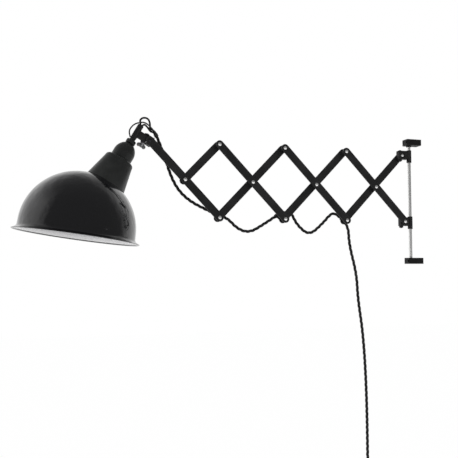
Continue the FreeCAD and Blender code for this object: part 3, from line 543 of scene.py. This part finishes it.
# the finishes of the CAD pieces that stay as they are
CAD_FINISH = {
    ARM_PAINT: "front_bar_1 front_bar_2 front_bar_3 front_bar_4 "
    "back_bar_1 back_bar_2 back_bar_3 back_bar_4 spacers_1 spacers_2 spacers_3 spacers_4 "
    "upper_fork lower_fork head_fork rod_collar upper_bolt lower_bolt",
    BLOCK_PAINT: "wall_bracket_top wall_bracket_bottom",
    NECK_PAINT: "stem_tube",
    DARK_STEEL: "sleeve_screw head_screw head_pin",
    ZINC: "wing_bolt",
    RING_WHITE: "neck_ring",
    BAKELITE: "lampholder",
    BRASS: "bulb_base",
    CLIP_SKIN: "cord_tie_head cord_clip_1 cord_clip_2 cord_clip_3 cord_tie",
    RUBBER: "plug_body",
    NICKEL: "plug_pins",
}
for finish, names in CAD_FINISH.items():
    for name in names.split():
        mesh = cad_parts[name].data
        mesh.materials.clear()
        mesh.materials.append(finish)


# ---- cords: the routes of the CAD source as smooth splines, closer to the photograph -----
TIE = Vector((T0[0] + 16.5, 13.0, T0[1] + 15.6))
DOWN = Vector((0.46, 0.06, -0.88)).normalized()  # the cord's direction through the tie
TIE_HALF, IN_STEM = 2.5, -12.0  # half the tie's height; the strands' start in the stem
STRAND_OUT = STRAND_D / 2 + 0.02  # a strand from the middle of the stem or the tie
TIE_TOP = TIE - DOWN * TIE_HALF
OUTWARD = DOWN.cross(Vector((0, 1, 0))).normalized()
FORWARD = DOWN.cross(OUTWARD).normalized()


def by_stem(up, side, y=0.0):
    """Counted from the stem's open end: up along it, to its right, and in Y."""
    return DOME + UP * (STEM_TOP + up) + SIDE * side + Vector((0, y, 0))


def in_tie(back, out, front=0.0):
    """Counted from the middle of the tie's upper end: back up the cord and to its two sides."""
    return TIE_TOP - DOWN * back + OUTWARD * out + FORWARD * front


def behind_arm(pivot, *spots):
    """Points of the cord behind the bars, counted from a pivot in X and Z."""
    return [Vector((pivot[0] + x, CORD_Y, pivot[1] + z)) for x, z in spots]


def clip_line(pivot, x, z, deg):
    """The middle of a clip, counted from its pivot, and the cord's direction through it."""
    a = math.radians(deg)
    return behind_arm(pivot, (x, z))[0], Vector((math.cos(a), 0, math.sin(a)))


CLIP_1, ALONG_1 = clip_line(L1, 0.0, 9.5, -15.0)
CLIP_2, ALONG_2 = clip_line(L2, -11.0, 9.0, 33.0)
CLIP_3, ALONG_3 = clip_line(L3, 0.0, 3.5, -41.0)
END_GAP, LEAD = 0.3, 11.5  # a run's end and its next control point, from the middle of a clip


def spline_line(name, points):
    """The line of a NURBS spline with these millimetre points as its control points."""
    curve = bpy.data.curves.new(name, "CURVE")
    curve.dimensions, curve.resolution_u = "3D", 16
    spline = curve.splines.new("NURBS")
    spline.points.add(len(points) - 1)
    for knot, place in zip(spline.points, points):
        knot.co = (*(place * MM), 1.0)
    spline.order_u, spline.use_endpoint_u = 3, True
    holder = linked(name, curve)
    line = bpy.data.meshes.new_from_object(holder)
    bpy.data.objects.remove(holder)
    bpy.data.curves.remove(curve)
    return line


def laid(node, points, on, twisted=True, thick=CORD_D, slot="textile", skin=BRAID, **facts):
    """A cord in place of a CAD run, of strands laid together or of a single one.

    It rides on a body where on names one; where on names two bodies and two places, it stays where
    it is, on no body.
    """
    line = spline_line(node + "_line", points)
    path = [v.co.copy() for v in line.vertices]
    run = sum((b - a).length for a, b in zip(path, path[1:]))
    single = {} if twisted else dict(Pitch=1.0, Strand=thick * MM / 2, Spread=0.0, Sides=18)
    piece = grown(node + "_laid", line, LAID_CORD, Skin=skin, **single)
    if isinstance(on, str):
        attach(piece, on)
    else:
        first, second, start, end = on
        start * MM
        end * MM
        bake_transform(piece)
    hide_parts(node)
    facts.setdefault("far_end", "object")
    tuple(path[0])
    thick * MM


TO_TIE = ("head", "head_hinge", by_stem(0.0, 0.0), TIE_TOP)
laid(
    "cord_curl",
    [
        by_stem(IN_STEM, -STRAND_OUT),
        by_stem(2.5, -STRAND_OUT),
        by_stem(6.3, -7.7, 0.5),
        by_stem(16.2, -5.0, 1.5),
        by_stem(20.8, 6.3, 3.0),
        by_stem(11.2, 16.2, 5.0),
        by_stem(4.2, 18.6, 7.0),
        in_tie(7.0, STRAND_OUT),
        in_tie(0.0, STRAND_OUT),
    ],
    TO_TIE,
    twisted=False,
    thick=STRAND_SEEN,
    stiffness="limp",
)
laid(
    "cord_lead",
    [
        by_stem(IN_STEM, STRAND_OUT),
        by_stem(5.2, STRAND_OUT),
        by_stem(4.4, 12.6, 3.0),
        by_stem(0.4, 23.0, 8.0),
        in_tie(5.0, -STRAND_OUT),
        in_tie(0.0, -STRAND_OUT),
    ],
    TO_TIE,
    twisted=False,
    thick=STRAND_SEEN,
    stiffness="limp",
)
# the wire starts beside the stem nut's collar, away from the arm and 30 degrees to the front
WIRE_REACH, WIRE_ACROSS, WIRE_FRONT = STEM_R + NUT_COLLAR + EARTH_D / 2 + 0.05, 0.866, 0.5
WIRE_IN_TIE = 2.16
laid(
    "earth_wire",
    [
        by_stem(NUT_TOP - 0.5 - STEM_TOP, -WIRE_REACH * WIRE_ACROSS, -WIRE_REACH * WIRE_FRONT),
        by_stem(-29.2, -13.2, -5.0),
        by_stem(-19.8, -15.7, -7.0),
        by_stem(-7.4, -12.5, -8.0),
        by_stem(1.0, -4.7, -8.0),
        by_stem(6.5, 2.3, -6.5),
        by_stem(8.1, 12.0, -2.0),
        in_tie(7.0, 0.0, WIRE_IN_TIE),
        in_tie(0.0, 0.0, WIRE_IN_TIE),
    ],
    TO_TIE,
    twisted=False,
    thick=EARTH_SEEN,
    slot="wire_black",
    skin=WIRE_SKIN,
)
START = TIE + DOWN * (TIE_HALF + 0.05)
HANDOVER = behind_arm(T0, (41.0, -44.0))[0]
laid(
    "cord_head",
    [START, START + DOWN * 7.0, *behind_arm(T0, (29.4, -12.0)), HANDOVER],
    ("head_hinge", "bar_a1", TIE, HANDOVER),
)
laid(
    "cord_run_1",
    [
        *behind_arm(T0, (40.95, -43.8), (51.5, -79.0), (82.0, -117.0)),
        CLIP_1 - ALONG_1 * LEAD,
        CLIP_1 - ALONG_1 * END_GAP,
    ],
    "bar_a1",
)
laid(
    "cord_run_2",
    [
        CLIP_1 + ALONG_1 * END_GAP,
        CLIP_1 + ALONG_1 * 21.7,
        *behind_arm(L1, (48.0, -23.0), (74.5, -29.5)),
        CLIP_2 - ALONG_2 * 42.0,
        CLIP_2 - ALONG_2 * END_GAP,
    ],
    ("bar_b2", "bar_a2", CLIP_1 + ALONG_1 * 20.0, CLIP_2 - ALONG_2 * 20.0),
)
laid(
    "cord_run_3",
    [
        CLIP_2 + ALONG_2 * END_GAP,
        CLIP_2 + ALONG_2 * LEAD,
        *behind_arm(L2, (22.5, 18.5), (36.5, -10.5), (66.5, -34.5), (98.5, -8.5), (124.0, 19.5)),
        CLIP_3 - ALONG_3 * LEAD,
        CLIP_3 - ALONG_3 * END_GAP,
    ],
    ("bar_b3", "bar_a3", CLIP_2 + ALONG_2 * 24.0, CLIP_3 - ALONG_3 * 24.0),
)

COIL_R, COIL_TURNS, COIL_LAY, STEPS_ROUND = 30.0, 4, CORD_D + 0.7, 12
DROP_X, COIL_Z = L3[0] + 56.4, -629.5
PLUG_X, END_Y, END_Z = DROP_X - 6.0, CORD_Y + COIL_LAY * COIL_TURNS, -684.0
CONTROL_R = COIL_R / math.cos(math.pi / STEPS_ROUND)  # control points stand outside the coil


def on_coil(step):
    """A control point of the coil, which winds from its right side down and back in Y."""
    a = 2 * math.pi * (step + 0.5) / STEPS_ROUND
    x, z = DROP_X - COIL_R + CONTROL_R * math.cos(a), COIL_Z - CONTROL_R * math.sin(a)
    return Vector((x, CORD_Y + COIL_LAY * a / (2 * math.pi), z))


laid(
    "cord_drop",
    [
        CLIP_3 + ALONG_3 * END_GAP,
        CLIP_3 + ALONG_3 * 20.4,
        *behind_arm(L3, (16.4, -52.0), (35.0, -122.0), (37.0, -176.0), (50.0, -262.0)),
        Vector((DROP_X, CORD_Y, -440.0)),
        *(on_coil(step) for step in range(-1, COIL_TURNS * STEPS_ROUND + 1)),
        Vector((DROP_X, END_Y, COIL_Z - 20.0)),
        Vector((PLUG_X, END_Y, COIL_Z - 40.0)),
        Vector((PLUG_X, END_Y, END_Z)),
    ],
    "cord_hanger",
    far_end="plug",
    lay="coiled",
    with_pieces=[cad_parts[name] for name in ("plug_body", "plug_pins", "cord_tie")],
)


# ---- turned pieces of the lamp head ---------------------------------------------------------
DOME_R, SHADE_T, RIM_R, SKIRT, SHADE_TILT = 115.0, 1.0, 125.0, 16.3, math.radians(7.8)
DOME_HOLE_R, NECK_LOW_R, NECK_HIGH_R, NECK_H, NECK_T = 37.0, 41.9, 30.0, 59.4, 1.4
BELL_R, BELL_H, HOLDER_R = 22.0, 37.0, 18.9
SEAT = math.sqrt(DOME_R**2 - NECK_LOW_R**2)  # the neck's foot above the dome's centre
NECK_TOP = SEAT + NECK_H
BELL_TOP = NECK_TOP + BELL_H
DIAGONAL = math.sqrt(0.5)


def in_place_of(piece, body, node):
    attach(piece, body)
    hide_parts(node)


def on_stem(name, profile, finish, steps, node):
    """A piece of the lamp head turned about the stem, with heights from the dome's centre."""
    piece = turned(name, profile, finish, at=DOME, lean=LEAN, steps=steps)
    in_place_of(piece, "head", node)


DOME_IN = DOME_R - SHADE_T
black_side = outline(
    (0, DOME_R),
    ((DOME_R * DIAGONAL, DOME_R * DIAGONAL), (DOME_R, 0), 44),
    (DOME_R + 0.2, -5.0),
    ((DOME_R + 1.3, -9.6), (DOME_R + 4.4, -12.6), 8),
    (RIM_R - 0.8, -SKIRT + 0.9),
    ((RIM_R, -SKIRT + 0.2), (RIM_R - 0.4, -SKIRT - 0.5), 4),
    ((RIM_R - 1.2, -SKIRT - 0.6), (RIM_R - 1.7, -SKIRT + 0.1), 4),
    (RIM_R - 3.4, -SKIRT + 0.97),
    (RIM_R - 5.0, -SKIRT + 1.79),
)
white_side = outline(
    (RIM_R - 5.2, -SKIRT + 1.89),
    (DOME_R + 3.6, -13.8),
    ((DOME_R + 0.2, -10.3), (DOME_IN + 0.2, -5.0), 8),
    (DOME_IN, 0),
    ((DOME_IN * DIAGONAL, DOME_IN * DIAGONAL), (0, DOME_IN), 44),
)
shade = turned(
    "dome_shade",
    black_side + white_side,
    BLACK_ENAMEL,
    WHITE_ENAMEL,
    range(len(black_side), len(black_side + white_side)),
    at=DOME,
    lean=SHADE_TILT,
    steps=160,
)
# the shade leans less than the stem, so the neck's hole goes through it aslant
DRILL_LOW, DRILL_HIGH = 70.0, 150.0
drill = turned(
    "drill",
    [(0, DRILL_LOW), (DOME_HOLE_R, DRILL_LOW), (DOME_HOLE_R, DRILL_HIGH), (0, DRILL_HIGH)],
    WHITE_ENAMEL,
    at=DOME,
    lean=LEAN,
)
bore = shade.modifiers.new("bore", "BOOLEAN")
bore.operation, bore.solver, bore.object = "DIFFERENCE", "EXACT", drill
applied(shade, bore).set_sharp_from_angle(angle=SHARP_EDGE)
bpy.data.objects.remove(drill)
in_place_of(shade, "head", "shade")

SPIGOT_R, RING_R, SPIGOT_DROP = DOME_HOLE_R - 0.3, 44.0, 4.0
SEAT_MID_R = (NECK_LOW_R + SPIGOT_R) / 2
SPIGOT_LOW = math.sqrt(DOME_IN**2 - RING_R**2) - SPIGOT_DROP
on_stem(
    "cone_neck",
    outline(
        (NECK_LOW_R, SEAT),
        (NECK_LOW_R - 0.05, SEAT + 1.6),
        (NECK_LOW_R - 0.6, SEAT + 2.4),
        (NECK_HIGH_R + 0.5, NECK_TOP - 8.0),
        ((NECK_HIGH_R - 1.2, NECK_TOP - 2.9), (NECK_HIGH_R - 5.6, NECK_TOP - 0.5), 10),
        (NECK_HIGH_R - 7.4, NECK_TOP),
        (HOLDER_R + 0.5, NECK_TOP),
        (HOLDER_R + 0.5, NECK_TOP - NECK_T),
        (NECK_HIGH_R - 7.6, NECK_TOP - NECK_T),
        ((NECK_HIGH_R - 2.6, NECK_TOP - 3.8), (NECK_HIGH_R - 1.0, NECK_TOP - 8.2), 8),
        (SPIGOT_R - NECK_T, SEAT + 7.0),
        (SPIGOT_R - NECK_T, SPIGOT_LOW),
        (SPIGOT_R, SPIGOT_LOW),
        (SPIGOT_R, math.sqrt(DOME_R**2 - SPIGOT_R**2)),
        ((SEAT_MID_R, math.sqrt(DOME_R**2 - SEAT_MID_R**2)), (NECK_LOW_R, SEAT), 4),
    )[:-1],
    NECK_PAINT,
    128,
    "shade_neck",
)

SHOULDER_X, SHOULDER_Z = BELL_R * 0.74, BELL_TOP - 22.94  # on the bell's curve, and at its foot
on_stem(
    "bell_cap",
    outline(
        (STEM_R, BELL_TOP - NECK_T),
        (STEM_R, BELL_TOP),
        (STEM_R + 3.0, BELL_TOP),
        ((SHOULDER_X, BELL_TOP - 7.77), (BELL_R, SHOULDER_Z), 16),
        (BELL_R, NECK_TOP + 0.4),
        (BELL_R - 0.4, NECK_TOP),
        (BELL_R - NECK_T, NECK_TOP),
        (BELL_R - NECK_T, SHOULDER_Z),
        ((SHOULDER_X - 1.05, BELL_TOP - 8.82), (STEM_R + 3.0, BELL_TOP - NECK_T), 12),
    ),
    NECK_PAINT,
    96,
    "socket_cap",
)

NUT_R, NUT_H = 10.2, 12.0
on_stem(
    "stem_lock_nut",
    outline(
        (STEM_R, BELL_TOP),
        (NUT_R - 0.3, BELL_TOP),
        (NUT_R, BELL_TOP + 0.3),
        (NUT_R, BELL_TOP + 0.57 * NUT_H),
        (NUT_R - 0.6, BELL_TOP + 0.65 * NUT_H),
        (NUT_R - 2.8, BELL_TOP + 0.72 * NUT_H),
        ((STEM_R + 2.2, BELL_TOP + 0.8 * NUT_H), (STEM_R + NUT_COLLAR, BELL_TOP + NUT_H), 8),
        (STEM_R, BELL_TOP + NUT_H),
    ),
    NECK_PAINT,
    72,
    "stem_nut",
)

BULB_R, BULB_L, CAP_R = 30.0, 72.2, 13.0
HOLDER_DROP, HOLDER_L, CAP_SHOWS = 3.6, 67.5, 2.3  # down from the bell's top to the glass
BULB_TOP = BELL_TOP - HOLDER_DROP - HOLDER_L - CAP_SHOWS
BULB_MID = BULB_TOP - BULB_L + BULB_R
FLANK, BELOW = math.radians(24.0), math.radians(-33.0)  # where the globe's arc starts, and between
on_stem(
    "opal_bulb",
    outline(
        (0, BULB_TOP),
        (CAP_R - 1.0, BULB_TOP),
        (CAP_R + 0.6, BULB_TOP - 3.2),
        (BULB_R * math.cos(FLANK), BULB_MID + BULB_R * math.sin(FLANK)),
        (
            (BULB_R * math.cos(BELOW), BULB_MID + BULB_R * math.sin(BELOW)),
            (0, BULB_MID - BULB_R),
            36,
        ),
    ),
    OPAL,
    96,
    "bulb_glass",
)


# ---- rod, rivets, sleeves and wing nut --------------------------------------------------------
ROD_R, ROD_END, ROD_EDGE = 4.0, 142.9, 0.5
rod_half = [(ROD_R, ROD_END - ROD_EDGE), (ROD_R - ROD_EDGE, ROD_END), (0, ROD_END)]
rod = turned(
    "bright_slide_rod",
    [(r, -z) for r, z in rod_half[::-1]] + rod_half,
    ROD_STEEL,
    at=Vector((ROD_X, 0, 0)),
    steps=64,
)
in_place_of(rod, "rod", "slide_rod")


def round_head(radius, face, way, height, rim=0.35):
    """A round head on a face, pointing one way along the axis, from its foot to its top."""
    rise = height - rim
    big = (radius**2 + rise**2) / (2 * rise)
    half = math.asin(radius / big) / 2
    through = (big * math.sin(half), face + way * (height - big + big * math.cos(half)))
    top = (0, face + way * height)
    return outline((radius, face), (radius, face + way * rim), (through, top, 9))


PIN_R, HEAD_R, HEAD_H = 2.5, 3.7, 2.0
front_head = round_head(HEAD_R, BAR_FRONT, -1, HEAD_H)[::-1] + [(PIN_R, BAR_FRONT)]
back_head = [(PIN_R, BAR_BACK)] + round_head(HEAD_R, BAR_BACK, 1, HEAD_H)
rivet = turned(
    "rivet",
    front_head + back_head,
    PIN_STEEL,
    at=Vector((0, 0, 0)),
    steps=36,
    about_y=True,
)
for number, pivots in {1: (M1, L1), 2: (T1, M2, L2), 3: (T2, M3, L3), 4: (T3, M4)}.items():
    spots = bpy.data.meshes.new("rivet_spots")
    spots.from_pydata([(x * MM, 0, z * MM) for x, z in pivots], [], [])
    heads = grown("arm_rivets_%d" % number, spots, RIVETED, Fastener=rivet, Skin=PIN_STEEL)
    in_place_of(heads, "bar_a%d" % number, "rivets_%d" % number)
bpy.data.objects.remove(rivet)


SOFTENED = math.radians(30.0)  # edges that turn by more than this are softened


def block(corners, half, soft, rings=2):
    """A mesh with this X-Z outline, half wide to each side of Y = 0, with softened edges."""
    work = bmesh.new()
    front = work.faces.new([work.verts.new((x * MM, -half * MM, z * MM)) for x, z in corners])
    back = bmesh.ops.extrude_face_region(work, geom=[front])["geom"]
    for v in back:
        if isinstance(v, bmesh.types.BMVert):
            v.co.y += 2 * half * MM
    bmesh.ops.recalc_face_normals(work, faces=work.faces)
    edges = [e for e in work.edges if e.calc_face_angle(0) > SOFTENED]
    bmesh.ops.bevel(
        work, geom=edges, offset=soft * MM, segments=rings, profile=0.5, affect="EDGES"
    )
    mesh = bpy.data.meshes.new("block")
    work.to_mesh(mesh)
    work.free()
    return mesh


def with_blocks(piece, meshes, finish, at, lean):
    """Adds blocks to a turned piece, all in one finish, and puts the whole in its place."""
    work = bmesh.new()
    work.from_mesh(piece.data)
    for mesh in meshes:
        work.from_mesh(mesh)
        bpy.data.meshes.remove(mesh)
    for face in work.faces:
        face.material_index = 0
    work.to_mesh(piece.data)
    work.free()
    piece.data.materials.clear()
    piece.data.materials.append(finish)
    return settled(piece, at, lean)


SLEEVE_BORE_R, LUG_HALF, LUG_SOFT = 4.06, 3.9, 0.45
LUG_OUT, LUG_IN = 7.7, 4.2  # the lugs' outer and inner faces above and below the pivot
ROOT, SLOT_IN, BARREL_IN, LUG_END = -4.4, -14.2, -22.7, -29.5  # in X, from the rod's axis


def sleeve(name, low, high, outer, outlines, at, lean, edge=0.6):
    """A tube round the rod or the stem, with blocks of these outlines on it."""
    tube = turned(
        name,
        [
            (SLEEVE_BORE_R, low + 0.2),
            (outer - edge, low),
            (outer, low + edge),
            (outer, high - edge),
            (outer - edge, high),
            (SLEEVE_BORE_R, high - 0.2),
        ],
        ARM_PAINT,
        steps=64,
    )
    blocks = [block(corners, LUG_HALF, LUG_SOFT) for corners in outlines]
    return with_blocks(tube, blocks, ARM_PAINT, at, lean)


tongue = [
    (ROOT, -LUG_OUT),
    (ROOT, LUG_OUT),
    (LUG_END, LUG_OUT),
    (LUG_END, LUG_IN),
    (SLOT_IN, LUG_IN),
    (SLOT_IN, -LUG_IN),
    (LUG_END, -LUG_IN),
    (LUG_END, -LUG_OUT),
]
BARREL_Z = LUG_IN + 0.8
barrel = [(BARREL_IN, -BARREL_Z), (LUG_END, -BARREL_Z), (LUG_END, BARREL_Z), (BARREL_IN, BARREL_Z)]
for which, height, body in (("upper", TOP_Z, "rod"), ("lower", LOW_Z, "slider")):
    place, name = Vector((ROD_X, 0, height)), which + "_rod_sleeve"
    piece = sleeve(name, -16.8, 12.2, 5.6, [tongue, barrel], place, 0.0, 0.4)
    in_place_of(piece, body, which + "_sleeve")

knuckle = [(4.6, -LUG_OUT), (25.4, -LUG_OUT), (25.4, LUG_OUT), (4.6, LUG_OUT)]
place = DOME + UP * HEAD_PIN_UP
piece = sleeve("stem_sleeve", -14.0, 18.6, 6.3, [knuckle], place, LEAN)
in_place_of(piece, "head", "head_sleeve")

EAR_X, EAR_Z, EAR_R, EAR_HALF, EAR_SOFT = 5.9, -7.6, 4.0, 1.5, 0.7
EAR_START, EAR_TURN, EAR_STEPS = 80, -14, 20  # degrees round the ear's disc
turns = [math.radians(EAR_START + EAR_TURN * k) for k in range(EAR_STEPS)]
disc = [(EAR_X + EAR_R * math.cos(a), EAR_Z + EAR_R * math.sin(a)) for a in turns]
ear = [(2.2, -1.5), (4.6, -2.3), *disc, (2.2, -6.4)]
ears = [block([(side * x, z) for x, z in ear], EAR_HALF, EAR_SOFT, 3) for side in (1, -1)]
wings = turned(
    "winged_nut",
    outline(
        (2.6, 0.0),
        (5.3, 0.0),
        (5.6, -0.3),
        (5.6, -0.9),
        (4.7, -1.6),
        (3.8, -7.2),
        ((3.55, -7.8), (3.1, -8.0), 4),
        (2.6, -8.0),
    ),
    ZINC,
    steps=48,
)
BOLT_OUT, SEAT_DROP = 21.6, 10.1  # the bolt from the stem, and the nut's seat below the head pin
place = DOME + UP * (HEAD_PIN_UP - SEAT_DROP) + SIDE * BOLT_OUT
in_place_of(with_blocks(wings, ears, ZINC, place, LEAN), "wing_nut", "wing_nut")


def pivot_pin(name, profile, height, body, node):
    """A pin of a wall hinge, turned about Y."""
    at = Vector((PIN_X, 0, height))
    piece = turned(name, profile, PIN_STEEL, at=at, steps=48, about_y=True)
    in_place_of(piece, body, node)


BEHIND_WEB = -3.9  # in Y, just behind the lower fork's web
lower_profile = front_head + [(PIN_R, BEHIND_WEB)] + round_head(3.4, BEHIND_WEB, 1, 1.2, 0.2)
pivot_pin("lower_pivot_pin", lower_profile, LOW_Z, "bar_a4", "lower_pin")

SHANK_R, WASHER_R, WASHER_FRONT, WASHER_BACK = 3.6, 5.0, 6.2, 6.9
upper_profile = round_head(SHANK_R, -2.4, -1, 1.6, 0.3)[::-1]
upper_profile += [(SHANK_R, 4.0), (PIN_R, 4.0), (PIN_R, WASHER_FRONT), (WASHER_R, WASHER_FRONT)]
upper_profile += [(WASHER_R, WASHER_BACK), (PIN_R, WASHER_BACK), *back_head]
pivot_pin("upper_pivot_pin", upper_profile, TOP_Z, "rod", "upper_pin")


# ---- camera, light, floor --------------------------------------------------------------
def aim(turn_deg, down_deg, roll_deg):
    """A camera's rotation: how far it turns from +Y, looks down and rolls."""
    a, e, r = (math.radians(v) for v in (turn_deg, down_deg, roll_deg))
    ahead = Vector((-math.sin(a) * math.cos(e), math.cos(a) * math.cos(e), -math.sin(e)))
    right = ahead.cross(Vector((0, 0, 1))).normalized()
    above = right.cross(ahead)
    tilted = right * math.cos(r) + above * math.sin(r)
    return Matrix((tilted, tilted.cross(ahead), -ahead)).transposed().to_4x4()


# the lens, the place and the three angles are fitted to the photograph
camera = linked("camera", bpy.data.cameras.new("camera"))
camera.data.lens, camera.data.sensor_width = 48.45, 36.0
camera.matrix_world = Matrix.Translation((-0.8526, -1.2552, -0.1463)) @ aim(-16.94, -3.28, -0.11)
bpy.context.scene.camera = camera


MIDDLE = Vector((-0.45, 0.0, 0.0))


def softbox(name, at, width, height, watts):
    """A soft light aimed at the middle of the arm, not seen in mirrored surfaces."""
    lamp = bpy.data.lights.new(name, "AREA")
    lamp.shape, lamp.size, lamp.size_y, lamp.energy = "RECTANGLE", width, height, watts
    holder = linked(name, lamp)
    holder.location = at
    holder.rotation_euler = (MIDDLE - Vector(at)).to_track_quat("-Z", "Y").to_euler()
    holder.visible_glossy = False


softbox("softbox_left", (-3.0, -0.5, 0.5), 1.8, 2.2, 26)
softbox("softbox_top", (-0.5, 0.3, 2.2), 2.4, 1.4, 24)
softbox("fill_front", (0.3, -3.0, 0.6), 2.2, 1.8, 22)

# The background is white. Mirrored surfaces see a room that is bright behind the lamp and dim
# overhead and on the camera's side, and everything else gets a plain pale light.
AWAY_X, AWAY_Y = -0.193, 0.981  # level direction from the camera's side to behind the lamp
DIM, DIM_OVERHEAD, PLAIN = 0.22, 0.25, 0.62
world = bpy.data.worlds.new("studio")
bpy.context.scene.world = world
world.use_nodes = True
sky = Finish("studio", world.node_tree)
toward = sky.add("SeparateXYZ", None, sky.add("TexCoord")[0])
behind = (toward[1] * AWAY_Y + toward[0] * AWAY_X).within(-0.3, 0.15, DIM, 1.0)
room = (behind * toward[2].within(0.5, 0.97, 1.0, DIM_OVERHEAD)).top(DIM)
seen, mirrored, through = sky.rays()
strength = (seen + through).top(mirrored * room)
plain = (1 - seen.top(mirrored).top(through)) * PLAIN
glow = sky.add("Background", None, (1.0, 1.0, 1.0), strength + plain)[0]
sky.add("OutputWorld", None, glow)

FLOOR_Z, FLOOR_HALF, FLOOR_GLOW = -1.3, 9.0, 0.99
square = [(-1, -1), (1, -1), (1, 1), (-1, 1)]
corners = [(x * FLOOR_HALF, y * FLOOR_HALF, FLOOR_Z) for x, y in square]
floor = linked("floor", bpy.data.meshes.new("floor"))
floor.data.from_pydata(corners, [], [(0, 1, 2, 3)])
paper = Finish("floor_paper")
fibre = paper.noise(0.003, 3.0, 0.6)
card = paper.add(
    "BsdfPrincipled",
    None,
    Base_Color=paper.tint(fibre, (0.86, 0.86, 0.86), (0.9, 0.9, 0.9)),
    Roughness=0.9,
    Specular_IOR_Level=0.2,
    Normal=paper.relief(fibre, 0.0002, 0.4),
)[0]
glow = paper.add("Emission", None, (1.0, 1.0, 1.0), 1.0)[0]
seen, mirrored, through = paper.rays()
share = seen.top(mirrored).top(through) * FLOOR_GLOW
paper.add("OutputMaterial", None, paper.add("MixShader", None, share, card, glow)[0])
floor.data.materials.append(paper.material)

bpy.context.scene.view_settings.view_transform = "Standard"
